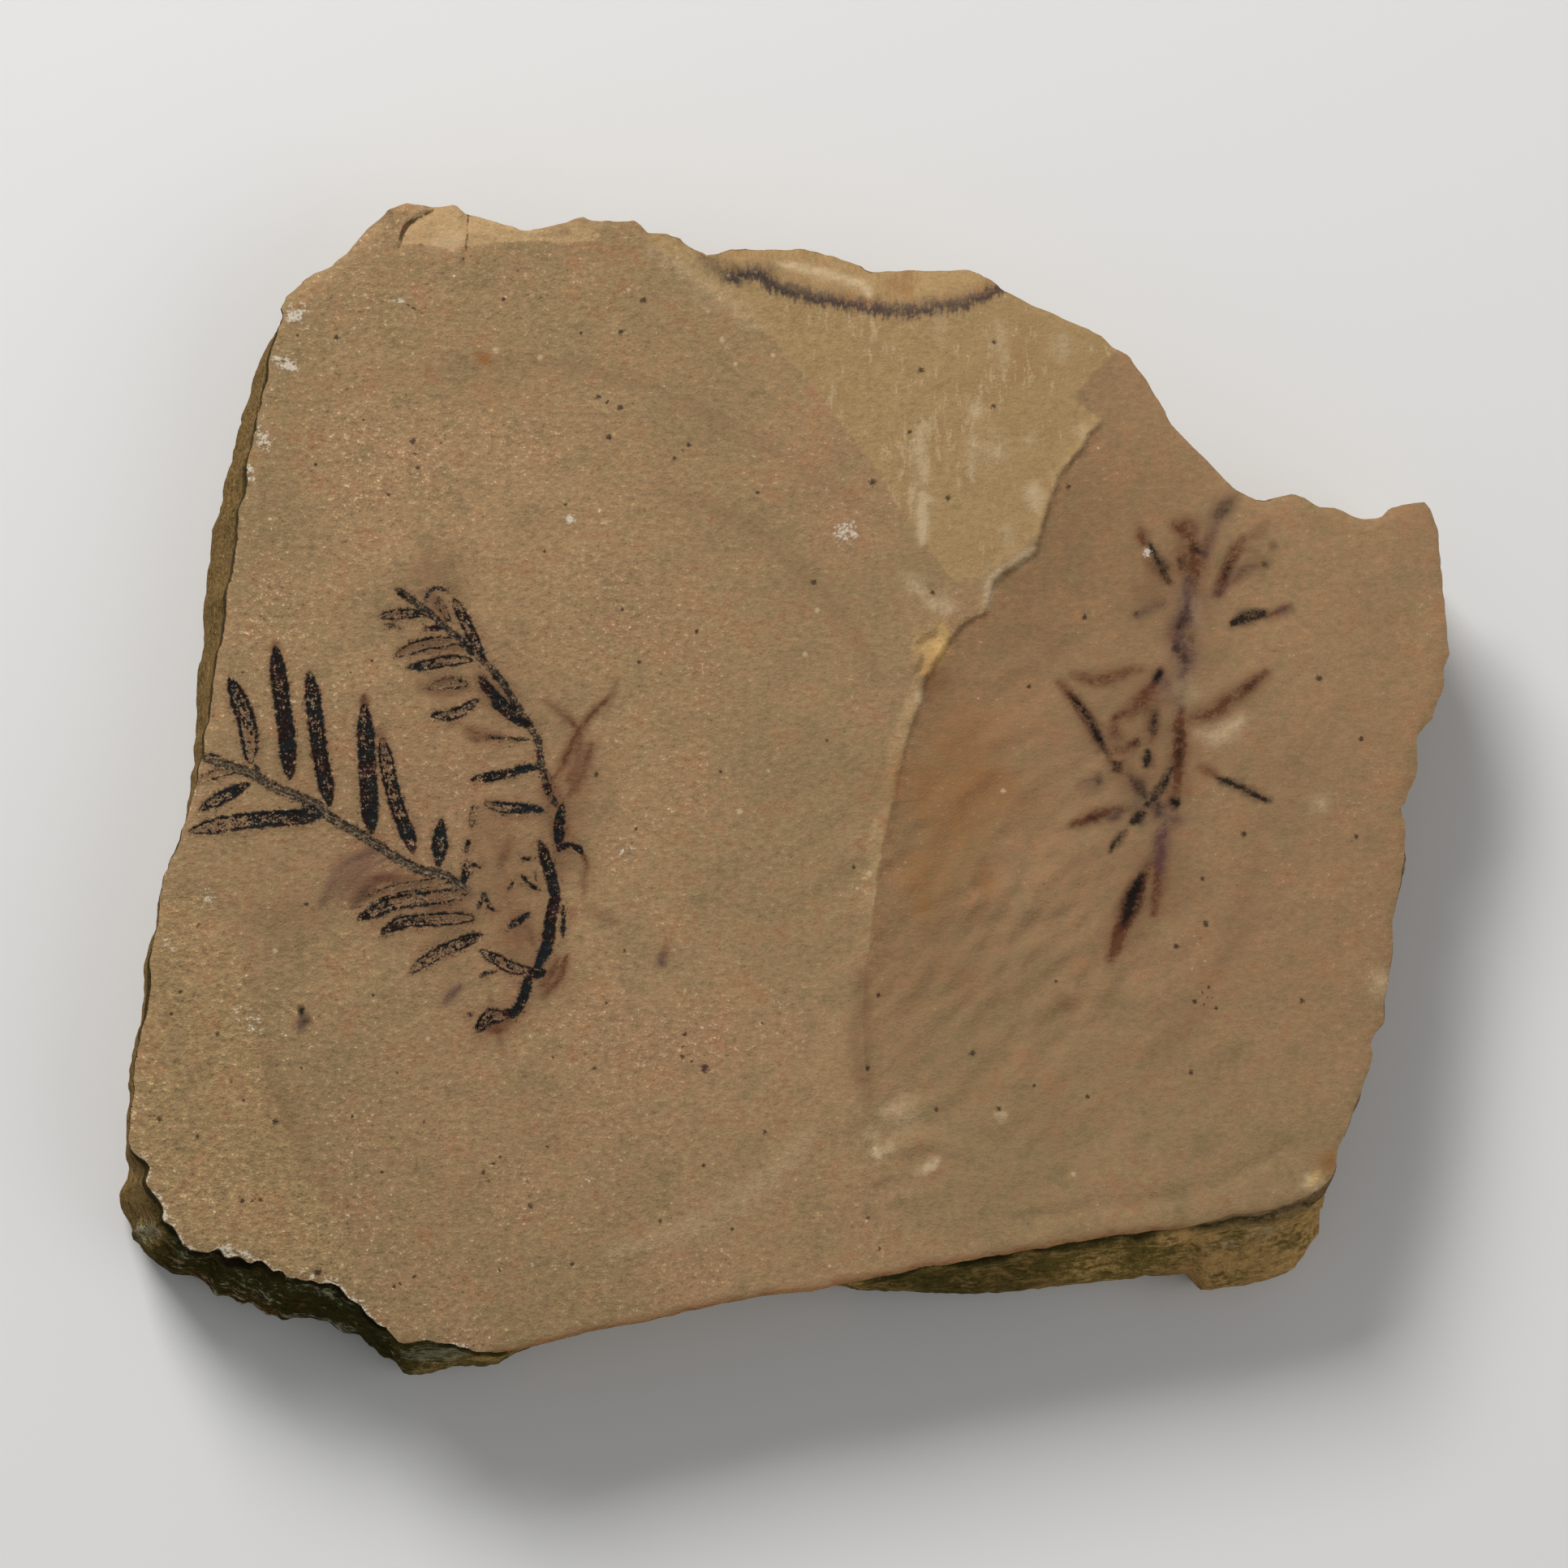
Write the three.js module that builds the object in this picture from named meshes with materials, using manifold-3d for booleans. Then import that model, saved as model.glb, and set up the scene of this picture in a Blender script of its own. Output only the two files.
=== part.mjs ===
// Fossil dawn redwood plate: one split slab of bedded siltstone, lying with its fossil face up.
// Millimetres. +X runs along the slab's length, +Y across it, +Z up out of the face.
// The origin is on the underside, below the middle of the slab's box.
// The leafy shoots are carbon films on the face, too thin to be solids, so they aren't here.

import * as THREE from 'three';
import { mergeVertices } from 'three/addons/utils/BufferGeometryUtils.js';
import Module from 'manifold-3d';

// ---- Driving dimensions ----

const THICKNESS = 16; // underside to the main face
const CLEAR = 5; // how far a cut reaches above the face
const MIDDLE = [0.5, 0.45]; // middle of the slab's box, in the frame of the outline below

// Heights of the rings that make the walls, from the face down to the underside.
const RING_HEIGHTS = [THICKNESS, 15, 13, 11, 9, 6.5, 4, 1.5, 0];
// How far each ring stands out or in, as the beds weathered back unevenly.
const RING_STEPS = [0, -0.15, 0.1, -0.2, 0.1, -0.15, 0.1, -0.1, -0.9];
const MEAN_RADIUS = 52; // turns a ring's step into a scale of the whole ring

// The share of a wall's run from the face's edge to its foot that each ring has reached.
const WALLS = {
  joint: [0, 0.08, 0.25, 0.42, 0.6, 0.82, 0.95, 1, 1], // a clean oblique joint face
  split: [0, 0.15, 0.3, 0.5, 0.55, 0.8, 0.9, 1, 1], // torn across the beds
  ledge: [0, 0.1, 0.22, 0.4, 0.92, 1, 1, 0.95, 0.9], // beds set back above a jutting ledge
};

// The face's edge, clockwise from the upper left corner, in stretches that broke in one way.
// A point is [x, y] where the wall drops straight, or [x, y, runX, runY] with the run of the
// wall from the face's edge out to its foot.
const EDGE = [
  { wall: 'split', points: [ // upper edge, chipped, up to the worn facet
    [-45.1, 44.2], [-44.1, 45.1], [-42.6, 46.3], [-41.0, 46.9], [-40.2, 47.7], [-37.8, 50.4],
    [-36.2, 51.7], [-35.2, 52.9], [-34.3, 53.2], [-32.3, 52.8], [-29.9, 52.9], [-28.7, 52.0],
    [-26.4, 51.3], [-23.7, 50.6], [-22.1, 50.6], [-20.0, 51.2], [-18.2, 51.9], [-16.7, 51.4],
    [-13.6, 51.3], [-12.4, 50.3], [-10.9, 50.1], [-9.5, 49.7], [-8.2, 48.7], [-7.0, 48.1],
  ] },
  { wall: 'split', points: [ // outer edge of the facet
    [-6.0, 48.5], [-4.9, 49.0], [-1.7, 49.1], [1.3, 49.4], [3.5, 49.0], [5.1, 48.6], [6.6, 48.1],
    [7.6, 47.3], [8.4, 47.2], [10.1, 47.5], [15.0, 47.4], [17.0, 47.5], [18.6, 46.6],
    [20.0, 45.4], [22.1, 44.2], [25.0, 42.9], [27.7, 41.7], [29.0, 41.1], [30.0, 40.1],
  ] },
  { wall: 'split', points: [ // right-hand side, round to the ledge
    [31.4, 39.3], [32.2, 38.1], [33.4, 36.7], [34.2, 35.0], [35.1, 33.3], [37.1, 31.2],
    [39.4, 28.8], [40.9, 27.3], [42.9, 26.1], [43.8, 26.0], [45.0, 26.5], [46.4, 26.8],
    [47.4, 26.5], [48.6, 25.6], [50.1, 25.5], [52.5, 24.6], [53.8, 24.6], [54.6, 24.9],
    [55.2, 25.5], [56.3, 25.9], [58.4, 26.1], [58.9, 25.3], [59.5, 23.6], [59.7, 21.5],
    [60.0, 16.5], [60.5, 12.2], [60.1, 11.1], [59.9, 9.6], [59.3, 8.0], [58.9, 6.2],
    [58.0, 5.6], [57.3, 4.6], [57.4, 1.2], [56.9, 0.0], [56.3, -1.3], [55.8, -1.9],
    [56.3, -3.0], [56.3, -4.4], [55.8, -8.2], [55.0, -12.0], [54.8, -15.7], [54.1, -19.5],
    [54.1, -21.4], [53.4, -22.3], [52.9, -23.3], [53.2, -24.3], [52.9, -25.5], [51.6, -28.3],
    [50.9, -29.9], [50.5, -31.5], [49.9, -32.7], [49.7, -34.3], [49.2, -35.4],
  ] },
  { wall: 'ledge', points: [ // lower right, above the ledge
    [48.5, -36.2, 0.8, -3.8], [47.2, -36.9, 0.6, -4.7], [45.6, -37.6, 1.2, -5.7],
    [43.7, -38.1, 0.4, -6.0], [41.4, -38.5, 0, -5.9], [40.0, -38.7, 0.3, -6.1],
    [37.8, -39.3, 0.7, -5.6], [37.2, -39.5, 0.2, -3.9], [35.1, -40.0, 0.3, -3.6],
    [30.0, -40.4, 0.4, -3.4], [26.5, -41.1, 0.3, -3.2], [22.9, -41.7, 0.2, -3.1],
    [17.6, -42.6, 0.1, -2.6], [12.2, -43.5, 0, -1.8], [7.4, -44.6, 0, -0.5],
  ] },
  { wall: 'split', points: [ // lower edge, tucked under
    [4.8, -45.0, 0, 0.3], [2.5, -45.5, 0, 0.8], [-1.7, -46.0, 0, 1.2], [-4.9, -46.6, 0, 1.3],
    [-7.7, -47.2, 0, 1.3], [-12.8, -48.3, 0, 1.2], [-17.4, -49.2, 0, 1.0], [-19.9, -49.9, 0, 0.6],
    [-22.2, -50.4, 0, 0.2], [-24.1, -50.9, 0, 0],
  ] },
  { wall: 'ledge', points: [ // lower left, above the corner block
    [-25.6, -50.9, 0.2, -0.4], [-27.9, -50.7, 0.4, -1.0], [-30.2, -50.2, 0.6, -1.7],
    [-31.8, -49.9, 0.8, -2.3], [-33.7, -50.1, 0.7, -2.2], [-34.6, -50.0, 0.5, -1.9],
    [-35.7, -48.9, 0.5, -2.0], [-36.9, -48.0, 0.3, -2.1], [-38.0, -47.2, 0, -2.5],
    [-39.2, -46.6, -0.1, -2.6], [-40.4, -45.8, -0.2, -2.7], [-41.7, -45.0, -0.2, -3.0],
    [-43.1, -44.6, -0.4, -3.2], [-44.8, -43.9, -0.7, -3.7], [-46.2, -43.3, -1.0, -3.5],
    [-47.8, -43.0, -1.0, -3.0], [-49.2, -42.3, -1.2, -2.7], [-50.3, -42.0, -1.3, -2.4],
    [-51.3, -42.5, -1.7, -1.4], [-52.7, -41.5, -2.2, -1.5], [-53.8, -40.9, -2.5, -1.4],
    [-54.8, -40.1, -2.9, -0.9], [-55.6, -39.1, -2.8, -0.8],
  ] },
  { wall: 'joint', points: [ // corner block, then the old joint face up the left-hand side
    [-55.7, -38.2, -3.1, -0.6], [-56.0, -37.3, -3.3, -0.4], [-56.2, -36.4, -3.4, -0.1],
    [-56.5, -35.7, -3.1, -0.1], [-57.5, -34.8, -2.0, -0.2], [-58.1, -33.4, -1.2, 0],
    [-58.6, -32.2, -0.7, 0], [-58.3, -29.5, -0.8, 0], [-58.0, -26.7, -0.9, 0],
    [-57.7, -23.6, -1.0, 0], [-57.2, -21.5, -1.1, 0], [-56.9, -19.5, -1.2, 0],
    [-56.5, -15.3, -0.9, 0], [-56.1, -13.0, -0.7, 0], [-55.5, -8.6, -0.5, 0],
    [-54.6, -6.2, -0.5, 0], [-53.6, -3.4, -0.7, 0], [-52.8, -0.4, -1.2, 0],
    [-52.1, 3.4, -1.5, 0], [-51.4, 7.8, -1.9, 0], [-51.1, 10.2, -2.1, 0],
    [-50.7, 12.5, -2.3, 0], [-50.1, 16.7, -2.6, 0], [-49.5, 20.1, -3.0, 0],
    [-49.3, 22.9, -2.9, 0], [-48.9, 25.1, -2.9, 0], [-48.5, 26.3, -3.0, 0],
    [-48.4, 28.9, -2.5, 0], [-47.9, 31.4, -2.5, 0], [-47.5, 33.7, -2.4, 0],
    [-46.8, 36.5, -2.2, 0], [-46.4, 38.5, -1.9, 0], [-45.8, 40.4, -1.7, 0],
    [-45.4, 42.6, -0.9, 0],
  ] },
];

// The low step where the face drops to the next bed, from the facet down to where it dies out.
const STEP_LINE = [
  [31.5, 39.5], [30.5, 36.0], [29.1, 33.4], [27.3, 32.0], [27.0, 30.3], [25.7, 29.0],
  [24.4, 27.2], [23.3, 23.7], [22.7, 21.3], [20.1, 19.6], [18.7, 18.5], [18.1, 15.8],
  [16.8, 15.2], [15.9, 14.6], [14.2, 12.2], [13.5, 11.2], [12.8, 9.8], [12.4, 8.2],
  [11.3, 5.1], [10.4, 2.0], [9.7, -1.5], [8.8, -5.3], [8.2, -9.0], [7.8, -12.7], [7.2, -16.9],
  [6.9, -22.1], [7.6, -30.0],
];
const STEP_END = -30; // the step dies out at this Y
const STEP_SLOPE = 0.022; // and grows by this much for each millimetre above it
const LOWER_BED_CORNERS = [[70, STEP_END], [70, 60], [34, 60]]; // clear of the slab on its right

// The worn ochre facet: its inner line on the main face, how far below the face it starts there,
// how fast it falls away from it, and where it ends on its far side.
const FACET_LINE = [[-12.3, 49.4], [-7.9, 45.7], [-2.2, 41.7], [3.2, 35.8], [9.0, 27.5], [15.2, 18.6]];
const FACET_DROP = 0.08;
const FACET_SLOPE = 0.045;
const FACET_CORNERS = [[17.8, 19.0], [32, 30], [40, 60], [-10, 60]];

// Bevels along the rim: a line [from, to], the depth below the face at both ends, the slope
// outwards, and how far out it cuts.
const BEVELS = [
  { from: [-9.5, 47.4], to: [11.0, 42.2], depths: [0.05, 0.57], slope: 0.6, reach: 12 },
  { from: [11.0, 42.2], to: [22.0, 44.6], depths: [0.57, 1.0], slope: 0.6, reach: 8 },
  { from: [-35.4, 49.2], to: [-28.8, 49.4], depths: [0.05, 0.05], slope: 0.36, reach: 6 },
  { from: [-28.8, 49.9], to: [-16.9, 50.6], depths: [0.05, 0.05], slope: 0.55, reach: 4 },
  { from: [-44.6, 43.0], to: [-36.0, 50.4], depths: [0.0, 0.1], slope: 0.35, reach: 6 },
];

// ---- Outline helpers ----

const onBox = ([x, y]) => [x - MIDDLE[0], y - MIDDLE[1]];

// Each edge point with its wall's run and profile, anticlockwise.
function edgePoints() {
  const all = EDGE.flatMap(({ wall, points }) =>
    points.map(([x, y, runX = 0, runY = 0]) => ({ x, y, runX, runY, shares: WALLS[wall] })));
  return all.reverse();
}

// One ring of the wall: the edge moved out by its share of the run, then stepped in or out.
function ring(points, level) {
  const scale = 1 + RING_STEPS[level] / MEAN_RADIUS;
  return points.map(({ x, y, runX, runY, shares }) =>
    onBox([x + runX * shares[level], y + runY * shares[level]]).map((value) => value * scale));
}

// ---- Solids ----

const wasm = await Module();
wasm.setup();

const WELD = 1e-4; // corners closer than this are one corner

function toSolid(geometry) {
  const bare = geometry.clone();
  bare.deleteAttribute('normal');
  bare.deleteAttribute('uv');
  const merged = mergeVertices(bare, WELD);
  return new wasm.Manifold(new wasm.Mesh({
    numProp: 3,
    vertProperties: new Float32Array(merged.attributes.position.array),
    triVerts: new Uint32Array(merged.index.array),
  }));
}

function toGeometry(solid) {
  const { vertProperties, triVerts } = solid.getMesh();
  const geometry = new THREE.BufferGeometry();
  geometry.setAttribute('position', new THREE.BufferAttribute(vertProperties, 3));
  geometry.setIndex(new THREE.BufferAttribute(triVerts, 1));
  return geometry;
}

// The slab before its face is worn: stacked rings, closed by a flat face and a flat underside.
function slabBlank() {
  const points = edgePoints();
  const count = points.length;
  const rings = RING_HEIGHTS.map((_, level) => ring(points, level));
  const positions = rings.flatMap((outline, level) =>
    outline.flatMap(([x, y]) => [x, y, RING_HEIGHTS[level]]));
  const faces = [];
  for (let level = 0; level + 1 < rings.length; level += 1) {
    for (let i = 0; i < count; i += 1) {
      const next = (i + 1) % count;
      const [a, b] = [level * count + i, level * count + next];
      const [c, d] = [a + count, b + count];
      faces.push(a, c, b, b, c, d);
    }
  }
  const cap = (outline) => THREE.ShapeUtils.triangulateShape(
    outline.map(([x, y]) => new THREE.Vector2(x, y)), []);
  const lowest = (rings.length - 1) * count;
  cap(rings[0]).forEach(([a, b, c]) => faces.push(a, b, c));
  cap(rings.at(-1)).forEach(([a, b, c]) => faces.push(lowest + a, lowest + c, lowest + b));
  const geometry = new THREE.BufferGeometry();
  geometry.setAttribute('position', new THREE.Float32BufferAttribute(positions, 3));
  geometry.setIndex(faces);
  return toSolid(geometry);
}

// What lies above a sloping floor, inside an outline: the stone that a break takes away.
function cutAbove(outline, floorAt) {
  const shape = new THREE.Shape(outline.map((point) => new THREE.Vector2(...onBox(point))));
  const geometry = new THREE.ExtrudeGeometry(shape, { depth: 1, bevelEnabled: false });
  const place = geometry.attributes.position;
  for (let i = 0; i < place.count; i += 1) {
    const [x, y] = [place.getX(i) + MIDDLE[0], place.getY(i) + MIDDLE[1]];
    place.setZ(i, place.getZ(i) > 0 ? THICKNESS + CLEAR : floorAt(x, y));
  }
  return toSolid(geometry);
}

// Everything right of the step line, down to the next bed.
function lowerBed() {
  const floor = (x, y) => THICKNESS - STEP_SLOPE * (y - STEP_END);
  return cutAbove([...STEP_LINE, ...LOWER_BED_CORNERS], floor);
}

// The shallow facet between its inner line and the slab's upper edge.
function wornFacet() {
  const [from, to] = [FACET_LINE[0], FACET_LINE.at(-1)];
  const length = Math.hypot(to[0] - from[0], to[1] - from[1]);
  const away = [(from[1] - to[1]) / length, (to[0] - from[0]) / length];
  const floor = (x, y) => {
    const distance = (x - from[0]) * away[0] + (y - from[1]) * away[1];
    return THICKNESS - FACET_DROP - FACET_SLOPE * distance;
  };
  return cutAbove([...FACET_LINE, ...FACET_CORNERS], floor);
}

// A bevel along part of the rim.
function bevel({ from, to, depths, slope, reach }) {
  const run = [to[0] - from[0], to[1] - from[1]];
  const length = Math.hypot(...run);
  const along = run.map((value) => value / length);
  const out = [-along[1], along[0]];
  const corner = ([x, y]) => [x + out[0] * reach, y + out[1] * reach];
  const floor = (x, y) => {
    const [dx, dy] = [x - from[0], y - from[1]];
    const share = (dx * along[0] + dy * along[1]) / length;
    const depth = depths[0] + (depths[1] - depths[0]) * share;
    return THICKNESS - depth - slope * (dx * out[0] + dy * out[1]);
  };
  return cutAbove([from, to, corner(to), corner(from)], floor);
}

function siltstoneSlab() {
  let solid = slabBlank().subtract(lowerBed()).subtract(wornFacet());
  BEVELS.forEach((edge) => {
    solid = solid.subtract(bevel(edge));
  });
  const stone = new THREE.MeshStandardMaterial({ color: 0x94775a, roughness: 0.9, metalness: 0 });
  const mesh = new THREE.Mesh(toGeometry(solid), stone);
  mesh.name = 'siltstone_slab';
  return mesh;
}

const group = new THREE.Group();
group.add(siltstoneSlab());

export default group;
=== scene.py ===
"""A fossil dawn redwood plate: a split slab of siltstone with carbon films of three leafy shoots.

Everything is placed in millimetres as read off the slab's face, with +X to the right, +Y up the
face and +Z out of it, and moved to the model's frame in metres when the mesh is made.
"""

import itertools
import math

import bpy
import numpy as np
from mathutils import Matrix, Vector
from mathutils.geometry import delaunay_2d_cdt


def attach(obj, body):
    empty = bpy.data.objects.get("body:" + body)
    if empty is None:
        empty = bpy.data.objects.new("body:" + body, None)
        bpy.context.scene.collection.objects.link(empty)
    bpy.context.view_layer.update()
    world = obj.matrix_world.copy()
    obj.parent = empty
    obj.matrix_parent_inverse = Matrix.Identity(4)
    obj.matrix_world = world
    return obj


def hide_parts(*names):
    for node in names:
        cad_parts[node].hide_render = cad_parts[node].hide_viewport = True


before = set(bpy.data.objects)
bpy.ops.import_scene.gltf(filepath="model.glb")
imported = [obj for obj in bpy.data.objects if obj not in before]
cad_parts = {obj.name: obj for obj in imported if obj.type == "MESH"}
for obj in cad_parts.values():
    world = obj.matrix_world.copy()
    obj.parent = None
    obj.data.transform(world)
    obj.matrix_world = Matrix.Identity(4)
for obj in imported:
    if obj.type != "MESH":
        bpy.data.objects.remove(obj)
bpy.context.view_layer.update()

# ---- Driving dimensions, in millimetres ----

THICKNESS = 16.0
MIDDLE = np.array([0.5, 0.45])  # middle of the slab's box, in the frame of the lists below

EDGE_STEP = 0.42  # spacing of mesh points round the face's edge
WALL_LEVELS = 30
FILM_STEP = 0.21  # spacing of mesh points on and beside the crisp carbon films
FINE_STEP = 0.31  # along breaks and on the soft stains
FACE_STEP = 0.6  # on the plain face
UNDERSIDE_STEP = 1.7

PRINT_DEPTH = 0.07  # how deep the films lie in the stone
PRINT_RIM = 0.035  # how high the stone stands round them
FILM_REACH = 2.2  # how far from a film its distance is worked out
DEEP_BELOW = 20.0  # how far below the rim the underside counts as, for the finish

# The slab's flat layout for its colour map, in shares of the map's width: the face, the
# underside beside the walls, and the walls in three strips one above another.
LAYOUT_MARGIN = 0.004
FACE_SPAN = 0.845
UNDERSIDE_SPAN = 0.29
UNDERSIDE_CORNER = (0.64, 0.745)
STRIP_LENGTH = 0.62
STRIP_WIDTH = 0.076
STRIP_SPACING = 0.082
STRIPS_FROM = 0.752

# Heights of the joints between the slab's beds.
BED_JOINTS = [0, 1.3, 2.7, 4.5, 6.0, 7.2, 8.9, 10.3, 11.6, 13.0, 14.1, 14.9, 15.5, 16.2]

# Heights at which a wall's run is given, and the share of the run reached there.
RING_HEIGHTS = [16, 15, 13, 11, 9, 6.5, 4, 1.5, 0]
WALLS = {
    "joint": [0, 0.08, 0.25, 0.42, 0.6, 0.82, 0.95, 1, 1],  # a clean oblique joint face
    "split": [0, 0.15, 0.3, 0.5, 0.55, 0.8, 0.9, 1, 1],  # torn across the beds
    "ledge": [0, 0.1, 0.22, 0.4, 0.92, 1, 1, 0.95, 0.9],  # set back above a jutting ledge
}

# The face's edge, clockwise from the upper left corner. Each stretch has its wall and six
# traits: how dark it weathered, how mossy it is (which also sets the painted shade on its
# walls), how rough it broke, how far its foot is tucked in, and how rusty and how crumbly its
# rim is. A point is [x, y] or [x, y, runX, runY] with the wall's run from the edge out to its foot.
EDGE = [
    dict(wall="split", traits=[0.35, 0.05, 1.0, 1.0, 0.1, 0.3], points=[  # upper edge
        [-45.1, 44.2], [-44.1, 45.1], [-42.6, 46.3], [-41.0, 46.9], [-40.2, 47.7],
        [-37.8, 50.4], [-36.2, 51.7], [-35.2, 52.9], [-34.3, 53.2], [-32.3, 52.8],
        [-29.9, 52.9], [-28.7, 52.0], [-26.4, 51.3], [-23.7, 50.6], [-22.1, 50.6],
        [-20.0, 51.2], [-18.2, 51.9], [-16.7, 51.4], [-13.6, 51.3], [-12.4, 50.3],
        [-10.9, 50.1], [-9.5, 49.7], [-8.2, 48.7], [-7.0, 48.1]]),
    dict(wall="split", traits=[0.3, 0.0, 0.9, 0.9, 0.2, 0.1], points=[  # past the facet
        [-6.0, 48.5], [-4.9, 49.0], [-1.7, 49.1], [1.3, 49.4], [3.5, 49.0], [5.1, 48.6],
        [6.6, 48.1], [7.6, 47.3], [8.4, 47.2], [10.1, 47.5], [15.0, 47.4], [17.0, 47.5],
        [18.6, 46.6], [20.0, 45.4], [22.1, 44.2], [25.0, 42.9], [27.7, 41.7], [29.0, 41.1],
        [30.0, 40.1]]),
    dict(wall="split", traits=[0.3, 0.0, 0.9, 1.0, 0.15, 0.1], points=[  # right-hand side
        [31.4, 39.3], [32.2, 38.1], [33.4, 36.7], [34.2, 35.0], [35.1, 33.3], [37.1, 31.2],
        [39.4, 28.8], [40.9, 27.3], [42.9, 26.1], [43.8, 26.0], [45.0, 26.5], [46.4, 26.8],
        [47.4, 26.5], [48.6, 25.6], [50.1, 25.5], [52.5, 24.6], [53.8, 24.6], [54.6, 24.9],
        [55.2, 25.5], [56.3, 25.9], [58.4, 26.1], [58.9, 25.3], [59.5, 23.6], [59.7, 21.5],
        [60.0, 16.5], [60.5, 12.2], [60.1, 11.1], [59.9, 9.6], [59.3, 8.0], [58.9, 6.2],
        [58.0, 5.6], [57.3, 4.6], [57.4, 1.2], [56.9, 0.0], [56.3, -1.3], [55.8, -1.9],
        [56.3, -3.0], [56.3, -4.4], [55.8, -8.2], [55.0, -12.0], [54.8, -15.7], [54.1, -19.5],
        [54.1, -21.4], [53.4, -22.3], [52.9, -23.3], [53.2, -24.3], [52.9, -25.5],
        [51.6, -28.3], [50.9, -29.9], [50.5, -31.5], [49.9, -32.7], [49.7, -34.3],
        [49.2, -35.4]]),
    dict(wall="ledge", traits=[0.4, 0.35, 0.9, 0.0, 0.5, 0.1], points=[  # right-hand ledge
        [48.5, -36.2, 0.8, -3.8], [47.2, -36.9, 0.6, -4.7], [45.6, -37.6, 1.2, -5.7],
        [43.7, -38.1, 0.4, -6.0], [41.4, -38.5, 0, -5.9], [40.0, -38.7, 0.3, -6.1],
        [37.8, -39.3, 0.7, -5.6]]),
    dict(wall="ledge", traits=[0.6, 0.74, 0.9, 0.0, 0.9, 0.0], points=[  # lower right, mossy
        [37.2, -39.5, 0.2, -3.9], [35.1, -40.0, 0.3, -3.6],
        [30.0, -40.4, 0.4, -3.4], [26.5, -41.1, 0.3, -3.2]]),
    dict(wall="ledge", traits=[0.8, 0.86, 0.9, 0.0, 0.9, 0.0], points=[  # its dark end
        [22.9, -41.7, 0.2, -3.1],
        [17.6, -42.6, 0.1, -2.6], [12.2, -43.5, 0, -1.8], [7.4, -44.6, 0, -0.5]]),
    dict(wall="split", traits=[0.8, 0.66, 0.7, 0.3, 0.9, 0.0], points=[  # lower edge
        [4.8, -45.0, 0, 0.3], [2.5, -45.5, 0, 0.8], [-1.7, -46.0, 0, 1.2],
        [-4.9, -46.6, 0, 1.3], [-7.7, -47.2, 0, 1.3], [-12.8, -48.3, 0, 1.2],
        [-17.4, -49.2, 0, 1.0], [-19.9, -49.9, 0, 0.6], [-22.2, -50.4, 0, 0.2],
        [-24.1, -50.9, 0, 0]]),
    dict(wall="ledge", traits=[0.9, 0.84, 1.1, 0.0, 0.1, 0.5], points=[  # lower left, mossy
        [-25.6, -50.9, 0.2, -0.4], [-27.9, -50.7, 0.4, -1.0], [-30.2, -50.2, 0.6, -1.7],
        [-31.8, -49.9, 0.8, -2.3], [-33.7, -50.1, 0.7, -2.2]]),
    dict(wall="ledge", traits=[0.9, 0.95, 1.5, 0.0, 0.2, 1.2], points=[  # left-hand ledge
        [-34.6, -50.0, 0.5, -1.9],
        [-35.7, -48.9, 0.5, -2.0], [-36.9, -48.0, 0.3, -2.1], [-38.0, -47.2, 0, -2.5],
        [-39.2, -46.6, -0.1, -2.6], [-40.4, -45.8, -0.2, -2.7], [-41.7, -45.0, -0.2, -3.0],
        [-43.1, -44.6, -0.4, -3.2], [-44.8, -43.9, -0.7, -3.7], [-46.2, -43.3, -1.0, -3.5],
        [-47.8, -43.0, -1.0, -3.0], [-49.2, -42.3, -1.2, -2.7], [-50.3, -42.0, -1.3, -2.4],
        [-51.3, -42.5, -1.7, -1.4], [-52.7, -41.5, -2.2, -1.5], [-53.8, -40.9, -2.5, -1.4],
        [-54.8, -40.1, -2.9, -0.9], [-55.6, -39.1, -2.8, -0.8]]),
    dict(wall="joint", traits=[1.0, 0.15, 0.5, 0.0, 0.0, 1.0], points=[  # its broken corner
        [-55.7, -38.2, -3.1, -0.6], [-56.0, -37.3, -3.3, -0.4], [-56.2, -36.4, -3.4, -0.1],
        [-56.9, -35.6, -2.7, -0.1], [-57.0, -34.8, -2.5, -0.2], [-58.0, -33.9, -1.3, 0]]),
    dict(wall="joint", traits=[1.0, 0.15, 0.4, 0.0, 0.0, 0.45], points=[  # old joint face
        [-58.2, -33.2, -1.1, 0],
        [-58.6, -32.2, -0.7, 0], [-58.3, -29.5, -0.8, 0], [-58.0, -26.7, -0.9, 0],
        [-57.7, -23.6, -1.0, 0], [-57.2, -21.5, -1.1, 0], [-56.9, -19.5, -1.2, 0],
        [-56.5, -15.3, -0.9, 0], [-56.1, -13.0, -0.7, 0], [-55.5, -8.6, -0.5, 0],
        [-54.6, -6.2, -0.5, 0], [-53.6, -3.4, -0.7, 0], [-52.8, -0.4, -1.2, 0],
        [-52.1, 3.4, -1.5, 0], [-51.4, 7.8, -1.9, 0], [-51.1, 10.2, -2.1, 0],
        [-50.7, 12.5, -2.3, 0], [-50.1, 16.7, -2.6, 0], [-49.5, 20.1, -3.0, 0],
        [-49.3, 22.9, -2.9, 0], [-48.9, 25.1, -2.9, 0], [-48.5, 26.3, -3.0, 0],
        [-48.4, 28.9, -2.5, 0], [-47.9, 31.4, -2.5, 0], [-47.5, 33.7, -2.4, 0],
        [-46.8, 36.5, -2.2, 0], [-46.4, 38.5, -1.9, 0], [-45.8, 40.4, -1.7, 0],
        [-45.4, 42.6, -0.9, 0]]),
]

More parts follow.
